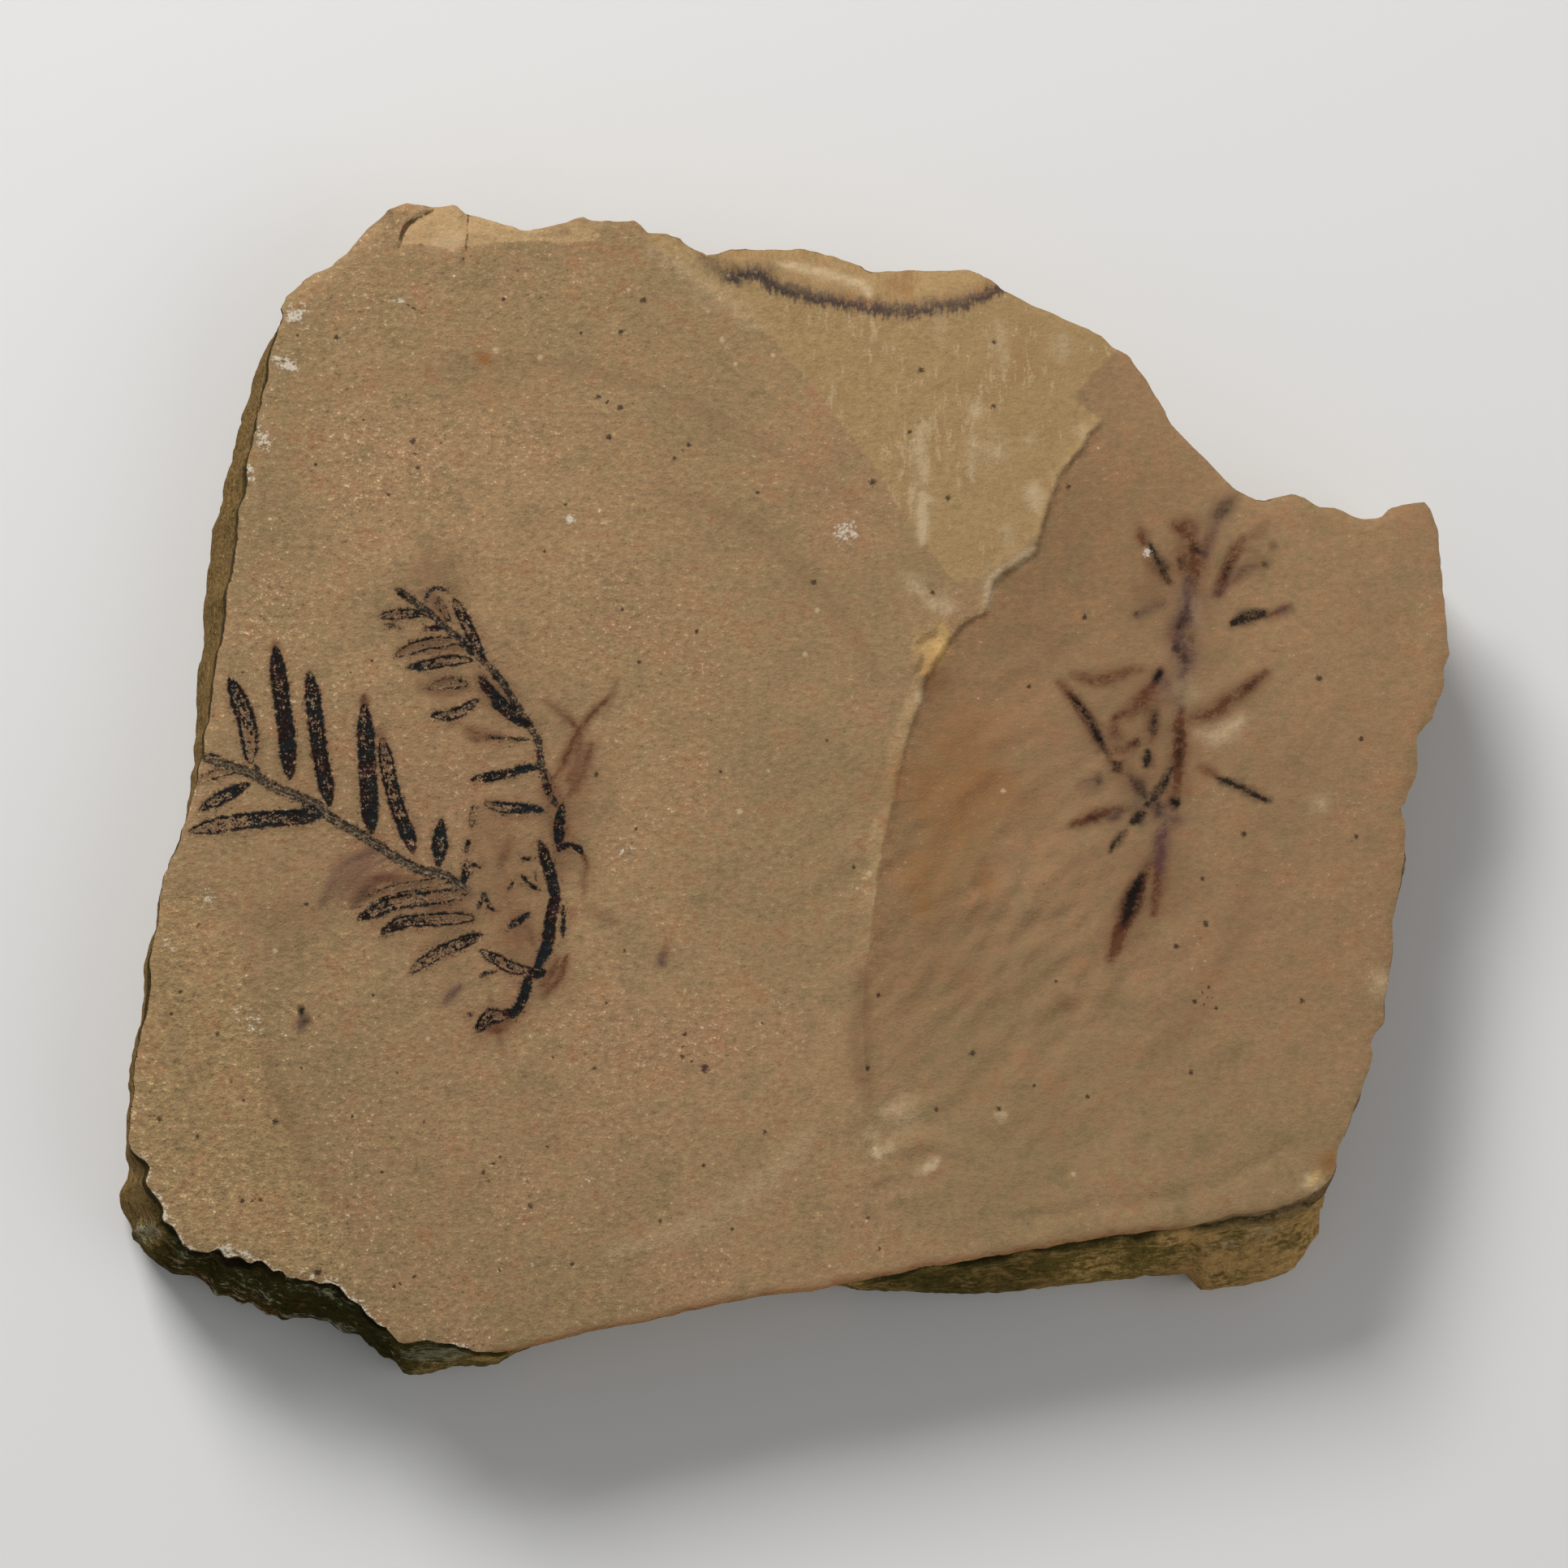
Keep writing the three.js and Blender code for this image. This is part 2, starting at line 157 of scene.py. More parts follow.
# The low step where the face drops to the next bed on its right. It dies out at STEP_END.
STEP_LINE = [
    [30.6, 40.6], [28.9, 38.7], [27.7, 37.3], [26.8, 36.3], [26.6, 35.2], [27.7, 34.2],
    [28.9, 33.5], [27.6, 32.3], [27.2, 31.2], [26.1, 30.0], [24.7, 28.1], [24.0, 26.0],
    [23.3, 23.7], [22.7, 21.3], [20.1, 19.6], [18.7, 18.5], [18.1, 15.8],
    [16.8, 15.2], [15.9, 14.6], [14.2, 12.2], [13.5, 11.2], [12.8, 9.8], [12.4, 8.2],
    [11.3, 5.1], [10.4, 2.0], [9.7, -1.5], [8.8, -5.3], [8.2, -9.0], [7.8, -12.7],
    [7.2, -16.9], [6.9, -22.1], [7.6, -30.0]]
STEP_END = -30.0
STEP_SLOPE = 0.007
FAINT_STEP = [[8.5, -34.4], [8.8, -37.0], [8.7, -40.2], [9.0, -60.0]]  # its trace further down
LOWER_BED_CORNERS = [[70, -60], [70, 60], [34, 60]]

# The worn ochre facet at the upper edge, and the thin beds that show beyond it.
FACET_LINE = [[-12.3, 49.4], [-7.9, 45.7], [-2.2, 41.7], [3.2, 35.8], [9.0, 27.5], [15.2, 18.6]]
FACET_CORNERS = [[17.8, 19.0], [32, 30], [40, 60], [-10, 60]]
FACET_DROP = 0.08
FACET_SLOPE = 0.02
DARK_BED = [[-7.6, 48.0], [-6.4, 47.0], [-5.4, 46.4], [-4.1, 46.2], [-3.0, 46.6], [-2.1, 46.5],
            [-1.4, 45.8], [-0.5, 45.2], [0.8, 45.0], [2.5, 44.3], [4.3, 44.2], [5.5, 43.8],
            [7.1, 43.7], [8.6, 43.4], [10.8, 43.2], [12.6, 43.4], [14.5, 43.7], [16.3, 44.0],
            [17.8, 44.6], [19.8, 45.6]]
DARK_BED_SLOPE = 0.6

# Bevels along the upper left rim: from, to, depth at both ends, slope outwards.
BEVELS = [
    ([-35.4, 49.2], [-28.8, 49.4], 0.05, 0.05, 0.36),
    ([-28.8, 49.9], [-16.9, 50.6], 0.05, 0.05, 0.55),
    ([-44.6, 43.0], [-36.0, 50.4], 0.0, 0.1, 0.35),
]

# A crease at the lower left, and coarser stone beyond it.
COARSE_CREASE = [[-47.9, -17.2], [-45.7, -26.7], [-41.3, -36.9], [-38.4, -43.4]]
COARSE_CORNERS = [[-38.4, -56], [-64, -56], [-64, -12], [-52, -10]]

GROOVES = [  # line, depth, width
    ([[-34.9, 48.7], [-34.6, 49.8], [-34.1, 50.9], [-33.3, 51.5], [-32.0, 52.3]], 0.35, 0.4),
    ([[-29.1, 47.2], [-28.8, 49.0], [-28.7, 50.4], [-28.8, 52.3]], 0.25, 0.24),
    ([[21.0, -39.3], [28.0, -38.1], [31.5, -37.8], [35.0, -37.1], [38.6, -36.3],
      [40.9, -35.0], [43.3, -33.9], [45.9, -32.2]], 0.2, 1.3),
    (COARSE_CREASE, 0.1, 1.0),
    ([[-41.0, 34.6], [-34.0, 37.6], [-27.2, 38.4], [-20.5, 38.1], [-14.1, 36.8], [-8.2, 34.5],
      [-3.0, 31.6], [2.0, 29.0], [6.6, 25.8], [12.8, 19.6]], 0.07, 1.1),
    ([[-11.3, 26.5], [-3.0, 23.4], [3.9, 16.8], [8.7, 9.9], [11.0, 4.6]], 0.07, 1.2),
    ([[-31.3, 45.1], [-16.8, 43.2], [-7.2, 38.9], [-0.3, 33.4], [6.6, 27.8]], 0.04, 1.4),
    ([[43.4, -4.0], [42.5, -8.0], [40.4, -15.0], [36.9, -21.8], [31.6, -28.2], [25.9, -32.8]],
     0.08, 2.4),
    ([[11.0, -33.6], [12.4, -33.2], [13.4, -33.0]], 0.1, 0.9),
    ([[-20.4, 46.0], [-16.7, 47.3], [-12.0, 47.6], [-10.0, 46.8]], 0.06, 1.6),
    ([[-34.5, 43.8], [-33.6, 43.4], [-32.7, 42.9]], 0.06, 0.2),
]
RIDGES = [  # line, height, width
    ([[3.9, -29.4], [1.5, -32.8], [-1.7, -35.8], [-8.0, -39.9], [-15.4, -42.2]], 0.08, 2.0),
    ([[8.1, -33.3], [8.5, -33.2]], 0.22, 0.9),
    ([[8.5, -33.2], [9.3, -33.0], [10.0, -32.5]], 0.12, 0.6),
    ([[12.2, -34.9], [13.0, -34.5], [13.9, -33.8]], 0.12, 0.7),
    ([[-48.6, -16.0], [-46.6, -26.4], [-42.4, -36.6], [-39.6, -43.0]], 0.05, 1.6),
    ([[20.0, 19.9], [18.9, 18.7], [18.4, 16.2]], 0.1, 0.7),
]
CRACKS_AND_SHADOWS = [  # dark lines where thin flakes part, and painted shadow where a flake's edge steps down: line, width
    ([[-35.0, 48.6], [-34.8, 49.4], [-34.4, 50.6]], 0.12),
    ([[-34.8, 49.5], [-34.4, 50.8]], 0.36),
    ([[-34.5, 50.4], [-34.2, 51.0], [-33.6, 51.4]], 0.4),
    ([[-34.2, 51.0], [-33.3, 51.6], [-31.8, 52.5]], 0.18),
    ([[-29.1, 47.6], [-28.8, 49.2], [-28.7, 50.4], [-28.7, 52.3]], 0.18),
    ([[-34.4, 43.6], [-33.6, 43.2], [-32.6, 42.6]], 0.2),
]
CHIPS = [  # where thin flakes came off the rim and the step's lip: outline, depth
    ([[14.3, 14.2], [14.2, 12.6], [12.8, 10.2], [11.9, 9.7], [12.4, 11.7], [11.9, 12.8],
      [13.0, 13.7]], 0.35),
    ([[-34.8, 49.0], [-34.1, 50.9], [-32.6, 51.9], [-32.0, 53.4], [-28.8, 53.2],
      [-28.8, 49.0], [-30.4, 48.6], [-32.8, 49.1]], 0.16),
    ([[-28.7, 51.9], [-24.5, 51.2], [-22.0, 50.4], [-20.4, 50.2], [-18.8, 50.8],
      [-17.2, 50.5], [-16.7, 49.9], [-17.6, 49.4], [-20.0, 49.3], [-23.0, 49.5],
      [-26.0, 49.2], [-28.7, 48.9]], 0.14),
]

# Patches of feathering: centre, reach along and across, direction, fineness, height, seed.
FEATHERS = [
    ((20, -17), (12, 17), math.radians(48), 2.4, 0.42, 31),
    ((20, -13), (12, 17), math.radians(42), 0.9, 0.34, 38),
    ((22, 4), (10, 9), math.radians(35), 1.6, 0.26, 39),
    ((33, 2), (16, 9), math.radians(60), 1.3, 0.17, 32),
    ((11, -31), (6, 5), math.radians(20), 1.5, 0.34, 40),
    ((-36, -13), (11, 7), math.radians(28), 1.3, 0.24, 33),
    ((-19, -9), (8, 8), math.radians(-32), 1.3, 0.2, 34),
    ((-27, 3), (8, 10), math.radians(8), 1.2, 0.14, 35),
    ((14, -36), (10, 8), math.radians(-20), 1.8, 0.16, 36),
    ((-28, 14), (9, 6), math.radians(-40), 1.0, 0.08, 37),
]

# ---- The carbon films ----
# A leaf: its path from stem to tip, greatest width, share of film left at its base and tip, and
# how hollow it is at its base and tip, where only the rim of the film is left.

SPREAD_SHOOT_LEAVES = [
    ([(-47.9, 1.8), (-48.3, 5.3), (-49.9, 9.5)], 1.65, 0.62, 0.88, 0.8, 0.1),
    ([(-44.4, 0.4), (-44.7, 4.1), (-45.2, 7.6), (-45.8, 12.3)], 1.5, 0.95, 0.8, 0.0, 0.0),
    ([(-40.8, -2.0), (-41.6, 1.8), (-42.1, 5.3), (-42.7, 10.0)], 1.45, 0.86, 0.72, 0.0, 0.1),
    ([(-37.0, -4.5), (-37.2, -2.9), (-37.4, 0.6), (-37.8, 7.1)], 1.6, 0.9, 0.7, 0.0, 0.1),
    ([(-33.3, -6.3), (-33.7, -5.0), (-35.1, -1.1), (-36.2, 4.1)], 1.35, 0.82, 0.6, 0.1, 0.5),
    ([(-31.0, -7.4), (-30.9, -5.0), (-30.8, -3.3)], 1.45, 0.7, 0.85, 0.1, 0.1),
    ([(-41.5, -2.9), (-43.5, -3.2), (-46.6, -3.4), (-49.4, -3.7), (-53.3, -4.5)],
     1.5, 0.82, 0.55, 0.0, 0.6),
    ([(-48.1, -0.2), (-50.2, -1.3), (-52.5, -2.6)], 1.2, 0.78, 0.6, 0.1, 0.3),
    ([(-49.4, 0.9), (-51.0, 0.7), (-52.6, 0.0)], 0.9, 0.45, 0.4, 0.8, 0.8),
    ([(-50.2, 1.9), (-51.5, 2.2), (-52.2, 2.4)], 0.8, 0.45, 0.4, 0.8, 0.8),
    ([(-28.6, -9.9), (-30.7, -10.3), (-33.0, -10.6), (-35.1, -10.9), (-38.3, -12.4)],
     1.35, 0.55, 0.74, 0.75, 0.3),
    ([(-27.9, -12.2), (-30.0, -12.3), (-33.5, -12.5), (-34.9, -12.9), (-36.2, -13.7)],
     1.2, 0.56, 0.78, 0.8, 0.2),
    ([(-27.2, -13.7), (-29.8, -14.8), (-31.2, -15.5), (-33.6, -17.1)],
     1.15, 0.8, 0.6, 0.15, 0.7),
    ([(-30.2, -8.9), (-33.0, -9.3), (-36.0, -10.0), (-38.6, -11.2)], 0.9, 0.3, 0.25, 0.9, 0.9),
]
BENT_SHOOT_LEAVES = [
    ([(-32.1, 15.2), (-34.0, 15.3), (-36.5, 15.0)], 0.95, 0.7, 0.62, 0.2, 0.3),
    ([(-34.5, 14.0), (-35.9, 14.3)], 0.45, 0.6, 0.6, 0.0, 0.0),
    ([(-30.8, 14.0), (-32.6, 13.9)], 0.85, 0.9, 0.75, 0.0, 0.3),
    ([(-29.4, 12.8), (-31.7, 12.6), (-33.6, 12.1), (-35.0, 11.4)], 1.15, 0.66, 0.6, 0.95, 0.8),
    ([(-28.1, 11.1), (-30.4, 11.0), (-32.3, 10.6), (-33.9, 10.4)], 1.0, 0.72, 0.9, 0.7, 0.4),
    ([(-28.6, 8.9), (-30.2, 9.0), (-32.2, 8.5)], 1.2, 0.4, 0.3, 0.7, 0.7),
    ([(-27.6, 7.5), (-28.8, 6.6), (-30.0, 6.1), (-31.8, 6.0)], 1.0, 0.75, 0.72, 0.6, 0.5),
    ([(-21.8, 1.4), (-23.2, 1.3), (-25.1, 0.8), (-28.2, 0.3)], 0.8, 0.9, 0.72, 0.0, 0.2),
    ([(-21.7, -2.5), (-23.3, -2.3), (-25.1, -2.3), (-27.0, -1.8)], 1.0, 0.85, 0.6, -0.3, 1.0),
    ([(-27.0, 10.9), (-27.6, 12.1), (-28.3, 13.7), (-29.8, 16.7)], 1.05, 0.85, 0.72, 0.2, 0.4),
    ([(-30.2, 14.6), (-31.2, 16.8)], 0.8, 0.55, 0.5, 0.6, 0.6),
    ([(-23.8, 6.0), (-25.0, 6.9), (-26.2, 8.0), (-27.6, 9.7)], 0.95, 0.85, 0.85, 0.1, 0.1),
    ([(-22.0, -5.3), (-21.4, -6.9), (-20.8, -9.0), (-20.4, -11.2)], 1.05, 0.9, 0.85, 0.0, 0.0),
    ([(-20.3, -9.4), (-20.9, -12.0), (-21.3, -14.8), (-22.4, -17.0)], 1.1, 0.9, 0.85, 0.0, 0.0),
    ([(-22.5, -17.0), (-24.3, -16.7), (-25.7, -16.0), (-27.3, -15.1)], 1.1, 0.8, 0.7, 0.4, 0.6),
    ([(-25.9, -17.0), (-27.4, -17.4)], 0.55, 0.65, 0.6, 0.0, 0.2),
    ([(-19.9, -1.9), (-20.2, -3.7), (-20.2, -6.3)], 1.0, 0.86, 0.9, 0.2, 0.0),
    ([(-22.9, -11.8), (-24.8, -13.1)], 0.8, 0.8, 0.6, 0.0, 0.1),
    ([(-28.9, -9.2), (-28.5, -7.9), (-28.6, -6.9)], 0.95, 0.8, 0.7, 0.1, 0.2),
    ([(-28.6, -6.3), (-28.3, -5.1)], 0.8, 0.75, 0.6, 0.0, 0.3),
    ([(-28.1, -4.0), (-27.9, -2.0)], 0.6, 0.45, 0.35, 0.3, 0.4),
    ([(-24.9, -21.0), (-26.4, -21.1), (-27.6, -22.4)], 1.8, 0.8, 0.7, 0.45, 0.5),
    ([(-23.0, -17.2), (-23.2, -19.2)], 1.1, 0.9, 0.85, 0.0, 0.1),
]
# A stem or loose strand: its path, width and the share of film left.
GREY_STEMS = [  # woody, streaked grey and black, with how grey each is
    ([(-52.2, 2.2), (-50.6, 1.7), (-47.8, 0.7), (-45.7, -0.5), (-42.9, -1.6), (-41.7, -2.2),
      (-40.8, -3.2), (-38.4, -4.5), (-35.0, -6.7), (-32.7, -7.9), (-30.6, -8.3), (-28.5, -9.7)],
     0.85, 0.78, 1.0),
    ([(-34.9, 17.5), (-33.4, 16.4), (-31.1, 14.6), (-28.8, 12.4), (-26.4, 10.4), (-24.6, 7.9),
      (-23.2, 5.6), (-22.2, 4.0), (-21.9, 2.1), (-21.2, -0.7), (-20.4, -2.1)], 0.6, 0.7, 0.45),
]
DARK_STRANDS = [
    ([(-30.1, 13.4), (-29.0, 12.9), (-28.6, 12.3), (-27.7, 11.4)], 0.62, 0.88),
    ([(-26.3, 10.2), (-25.6, 9.2)], 0.7, 0.85),
    ([(-24.6, 7.6), (-23.8, 6.5)], 0.7, 0.85),
    ([(-23.5, 6.0), (-22.8, 4.9)], 0.85, 0.88),
    ([(-21.5, 0.2), (-21.0, -1.3)], 0.75, 0.7),
    ([(-29.6, 9.2), (-28.8, 9.0)], 0.7, 0.8),
    ([(-35.0, 17.5), (-34.2, 16.9), (-33.5, 16.4)], 0.6, 0.95),
    ([(-47.7, 1.7), (-47.0, 0.6)], 0.3, 0.8),
    ([(-43.2, -1.9), (-41.3, -3.1)], 0.9, 0.7),
    ([(-26.3, 7.4), (-24.9, 6.2), (-23.4, 5.2)], 0.75, 0.9),
    ([(-22.7, 3.9), (-24.6, 4.0), (-26.6, 4.1)], 0.22, 0.7),
    ([(-20.1, -5.9), (-19.3, -5.6), (-18.6, -5.8), (-18.1, -6.4)], 0.6, 0.85),
    ([(-19.8, -11.1), (-19.8, -12.5), (-19.9, -13.9)], 0.4, 0.8),
    ([(-23.8, -6.9), (-22.4, -6.8)], 0.28, 0.8),
    ([(-23.6, -8.3), (-22.7, -9.3), (-21.8, -9.7)], 0.3, 0.75),
    ([(-22.4, -8.1), (-22.2, -9.0)], 0.26, 0.75),
    ([(-27.5, -11.4), (-26.9, -10.1), (-26.5, -11.2), (-25.9, -11.5)], 0.32, 0.75),
    ([(-22.9, -17.6), (-23.4, -19.4), (-24.2, -20.7), (-25.4, -20.8)], 0.9, 0.85),
    ([(-28.1, -7.3), (-27.3, -7.7)], 0.4, 0.7),
    ([(-21.4, -16.9), (-22.2, -17.2), (-23.2, -17.0)], 0.9, 0.85),
    ([(-24.7, -9.6), (-24.3, -9.1)], 0.5, 0.6),
    ([(-28.3, -20.9), (-28.0, -20.9)], 0.5, 0.6),
    ([(-32.4, 16.4), (-32.1, 17.1), (-31.4, 17.6), (-30.2, 17.4)], 0.28, 0.55),
    ([(-31.0, -9.0), (-33.8, -9.9)], 0.3, 0.5),
    ([(-28.4, -9.9), (-31.0, -10.0), (-32.9, -10.9)], 0.3, 0.55),
]

# ---- Soft stains, with some painted shade and a painted highlight, as strokes: path, width, strength ----

STAINS = {
    "haze_and_groove_shade": [  # broad brown hazes, and painted shade along the grooved arcs of the split
        ([(-44.0, 2.0), (-34.0, -2.0), (-27.0, -6.0)], 10.0, 0.16),
        ([(-32.0, 14.0), (-26.0, 6.0), (-22.5, -1.0)], 7.0, 0.18),
        ([(-26.5, -4.0), (-25.0, -10.0), (-24.0, -15.0)], 5.5, 0.36),
        ([(-29.0, -10.0), (-36.0, -11.5)], 5.0, 0.34),
        ([(-28.5, -13.5), (-32.0, -15.5)], 4.0, 0.3),
        ([(-19.6, 5.0), (-18.4, 0.0), (-19.4, -6.0)], 3.6, 0.26),
        ([(-22.0, -16.0), (-23.5, -20.0)], 3.6, 0.28),
        ([(-37.0, -7.0), (-40.4, -9.6)], 3.6, 0.32),
        # painted shade: these four strokes darken the grooves of the split's arcs and of the coarse
        # crease
        ([(-39.6, 35.2), (-27.2, 38.2), (-14.1, 36.6), (-3.0, 31.4), (6.6, 25.6)], 1.0, 0.13),
        ([(-11.3, 26.3), (-3.0, 23.2), (3.9, 16.6), (8.7, 9.8)], 1.1, 0.14),
        ([(43.4, -4.0), (40.4, -15.0), (31.6, -28.2)], 1.8, 0.1),
        ([(-47.7, -18.0), (-45.4, -27.6), (-41.6, -35.8), (-37.2, -40.2)], 0.8, 0.16),
        ([(37.5, 14.0), (35.0, 19.0)], 5.5, 0.22),
        ([(33.5, 7.5), (32.5, 0.5)], 6.5, 0.22),
        ([(34.5, -5.0), (31.5, -12.0)], 4.5, 0.2),
    ],
    "soot": [  # soft black
        ([(40.6, 26.0), (39.3, 24.7)], 0.8, 0.6),
        ([(36.4, 20.8), (36.1, 19.9)], 0.5, 0.5),
        ([(37.1, 21.9), (37.9, 21.3)], 0.7, 0.45),
        ([(36.6, 16.5), (36.5, 15.5), (35.8, 14.5)], 0.5, 0.55),
        ([(35.6, 12.8), (35.7, 12.4)], 0.6, 0.7),
        ([(36.9, 13.8), (37.0, 13.3)], 0.5, 0.6),
        ([(36.4, 12.0), (36.2, 11.5)], 0.8, 0.5),
        ([(33.2, 22.1), (33.8, 20.9), (34.6, 19.4), (35.1, 18.5)], 0.45, 0.95),
        ([(40.7, 14.9), (41.8, 15.4), (42.6, 15.6), (43.5, 15.9)], 0.75, 1.15),
        ([(40.0, 19.1), (40.5, 20.6)], 0.5, 0.55),
        ([(43.5, 20.4), (43.9, 20.2)], 0.5, 0.5),
        ([(31.9, 15.6), (32.1, 15.7)], 0.6, 0.6),
        ([(26.0, 8.3), (27.5, 6.2), (28.3, 4.7), (29.2, 2.8)], 0.5, 0.9),
        ([(30.0, 1.9), (30.2, 1.6)], 0.7, 0.95),
        ([(28.3, 0.6), (28.5, 0.6)], 0.6, 0.7),
        ([(34.0, 10.5), (33.7, 9.6)], 0.6, 0.8),
        ([(33.6, 6.7), (33.4, 4.9)], 0.7, 0.7),
        ([(32.0, 4.1), (31.9, 3.7)], 0.5, 0.6),
        ([(33.0, 3.1), (32.8, 1.8)], 0.6, 1.0),
        ([(35.1, 1.6), (34.3, 0.2), (33.7, -0.7), (32.7, -1.8)], 0.5, 0.95),
        ([(32.5, -2.5), (31.5, -3.3)], 0.75, 1.0),
        ([(31.0, -3.9), (30.2, -4.8), (29.5, -5.8)], 0.45, 0.8),
        ([(31.5, 0.8), (32.2, -0.2), (32.8, -1.2)], 0.7, 0.55),
        ([(35.8, 5.3), (35.7, 1.8)], 0.4, 0.5),
        ([(35.2, -1.6), (35.5, -1.5)], 0.8, 0.95),
        ([(33.8, -1.1), (33.8, -2.6)], 1.0, 0.45),
        ([(39.2, 0.8), (40.9, 0.1), (42.3, -0.6), (43.8, -1.3)], 0.45, 1.0),
        ([(28.6, -2.6), (27.4, -3.1)], 0.4, 0.6),
        ([(32.3, -8.2), (31.6, -9.8), (31.0, -11.5), (30.6, -12.4)], 0.85, 1.0),
        ([(41.6, 8.8), (42.8, 9.5)], 0.5, 0.4),
        ([(-43.2, -20.3), (-43.2, -20.8)], 0.4, 1.2),
        ([(-42.8, -21.4), (-42.7, -21.7)], 0.4, 0.9),
        ([(44.2, 22.1), (44.7, 21.9)], 0.6, 0.4),
        ([(-4.6, 47.6), (-4.0, 46.7)], 0.6, 0.4),
    ],
    "plum": [  # purple grey
        ([(41.1, 26.6), (39.6, 25.1), (38.9, 23.4), (38.3, 21.1)], 0.9, 0.55),
        ([(36.9, 18.8), (36.7, 17.5), (36.6, 16.1), (35.8, 14.3), (35.6, 12.5)], 1.1, 0.85),
        ([(35.9, 13.8), (36.4, 12.0), (36.0, 10.0)], 1.6, 0.7),
        ([(38.2, 17.5), (37.7, 15.5), (37.4, 14.5)], 0.9, 0.35),
        ([(38.9, 17.4), (39.4, 17.8), (40.2, 18.5)], 0.6, 0.7),
        ([(39.9, 18.1), (41.5, 19.5), (42.7, 20.1)], 0.7, 0.45),
        ([(32.0, 15.6), (33.1, 16.1), (34.6, 16.8)], 0.6, 0.5),
        ([(44.8, 16.0), (46.0, 16.4)], 0.6, 0.6),
        ([(34.4, 10.0), (35.4, 8.6), (36.0, 7.4)], 1.8, 0.5),
        ([(33.0, -1.8), (34.3, -2.8), (35.8, -3.1)], 1.4, 0.55),
        ([(29.4, -3.0), (30.5, -2.5)], 0.6, 0.8),
        ([(32.2, 0.5), (31.9, -0.8), (32.3, -2.1)], 1.4, 0.4),
        ([(26.8, 0.1), (28.8, 0.3)], 0.9, 0.35),
        ([(34.2, -3.3), (34.0, -5.2), (33.9, -7.7)], 0.9, 0.8),
        ([(-35.8, -5.7), (-38.9, -7.2), (-40.4, -9.0), (-41.4, -11.0)], 0.55, 0.55),
        ([(-35.6, -6.8), (-38.0, -8.2), (-39.8, -10.6)], 0.4, 0.5),
        ([(-34.4, -7.8), (-37.2, -9.4), (-38.8, -11.4)], 0.35, 0.45),
        ([(-37.4, -7.4), (-39.1, -8.8), (-40.2, -9.9)], 1.8, 0.35),
        ([(-29.0, -18.4), (-30.5, -19.8)], 0.7, 0.8),
        ([(-43.0, -21.1), (-43.3, -22.2)], 0.6, 0.8),
        ([(-10.7, -15.3), (-11.1, -15.9), (-11.0, -16.4), (-10.6, -16.1)], 0.42, 0.8),
        ([(-29.2, -9.5), (-27.9, -10.1)], 0.8, 0.7),
        ([(-36.4, 15.1), (-33.5, 15.3)], 0.8, 0.45),
        ([(-32.6, 17.2), (-31.0, 16.0)], 0.8, 0.4),
    ],
    "russet": [  # iron brown
        ([(-10.4, -14.5), (-10.7, -15.2), (-11.0, -15.9)], 0.6, 0.45),
        ([(35.6, 23.9), (36.6, 23.4), (37.1, 22.6)], 1.3, 0.8),
        ([(37.0, 22.6), (37.1, 20.8), (37.1, 18.8)], 1.9, 0.75),
        ([(38.9, 23.3), (38.3, 21.9), (37.8, 20.4)], 0.8, 0.5),
        ([(32.4, 23.4), (32.7, 22.2)], 0.7, 0.8),
        ([(33.0, 20.7), (33.8, 19.6), (34.7, 18.6)], 0.7, 0.5),
        ([(39.4, 17.6), (40.0, 19.3), (40.6, 20.8), (41.7, 22.5)], 0.9, 0.85),
        ([(41.7, 22.5), (42.9, 23.1), (44.0, 24.1)], 0.8, 0.35),
        ([(40.9, 18.8), (42.2, 20.0), (43.7, 20.4)], 0.9, 0.45),
        ([(41.2, 21.5), (42.5, 21.6), (43.5, 21.0)], 0.5, 0.3),
        ([(43.5, 15.6), (44.6, 15.8), (46.0, 16.4)], 0.6, 0.6),
        ([(34.0, 16.8), (31.7, 17.9)], 1.4, 0.22),
        ([(36.5, 15.8), (35.6, 13.8), (35.6, 12.5)], 0.8, 0.6),
        ([(26.2, 10.1), (28.5, 9.6), (31.1, 10.3), (32.4, 10.6)], 0.9, 0.6),
        ([(24.9, 9.4), (26.2, 7.9), (27.5, 6.0), (28.8, 3.8), (29.8, 2.0)], 0.8, 0.75),
        ([(34.2, 10.5), (33.4, 9.0), (31.8, 7.1), (29.9, 6.2)], 0.95, 0.72),
        ([(29.9, 6.2), (29.8, 5.1), (30.4, 4.3)], 0.9, 0.6),
        ([(32.1, 4.1), (30.9, 3.4), (29.6, 3.0)], 0.8, 0.6),
        ([(33.7, 6.2), (33.2, 3.8)], 1.0, 0.5),
        ([(36.1, 6.9), (35.7, 5.4), (35.8, 4.0), (35.6, 0.5)], 0.85, 1.0),
        ([(35.6, 0.5), (35.1, -1.8)], 1.1, 0.6),
        ([(36.5, 6.1), (38.8, 6.8), (40.3, 7.9), (42.1, 9.1), (43.7, 10.3)], 1.15, 0.75),
        ([(37.6, 1.8), (39.2, 1.0)], 0.7, 0.55),
        ([(30.9, -2.0), (28.6, -2.6), (27.1, -3.2), (26.0, -3.6)], 0.75, 0.75),
        ([(29.8, 2.1), (32.2, -0.2)], 1.2, 0.35),
        ([(33.8, -6.9), (33.0, -7.2), (32.3, -8.5)], 0.8, 0.6),
        ([(32.6, -8.0), (31.5, -10.2), (30.5, -12.8), (30.0, -14.2), (29.4, -15.6)], 1.0, 1.1),
        ([(30.7, -12.1), (30.1, -13.6), (29.5, -15.4)], 0.6, 1.2),
        ([(34.1, -5.6), (33.8, -7.7), (33.6, -9.3), (33.3, -11.5)], 0.8, 0.75),
        ([(36.3, 1.2), (36.4, -0.8)], 1.2, 0.3),
        ([(7.0, -17.0), (6.9, -23.0), (7.5, -29.0)], 1.2, 0.3),
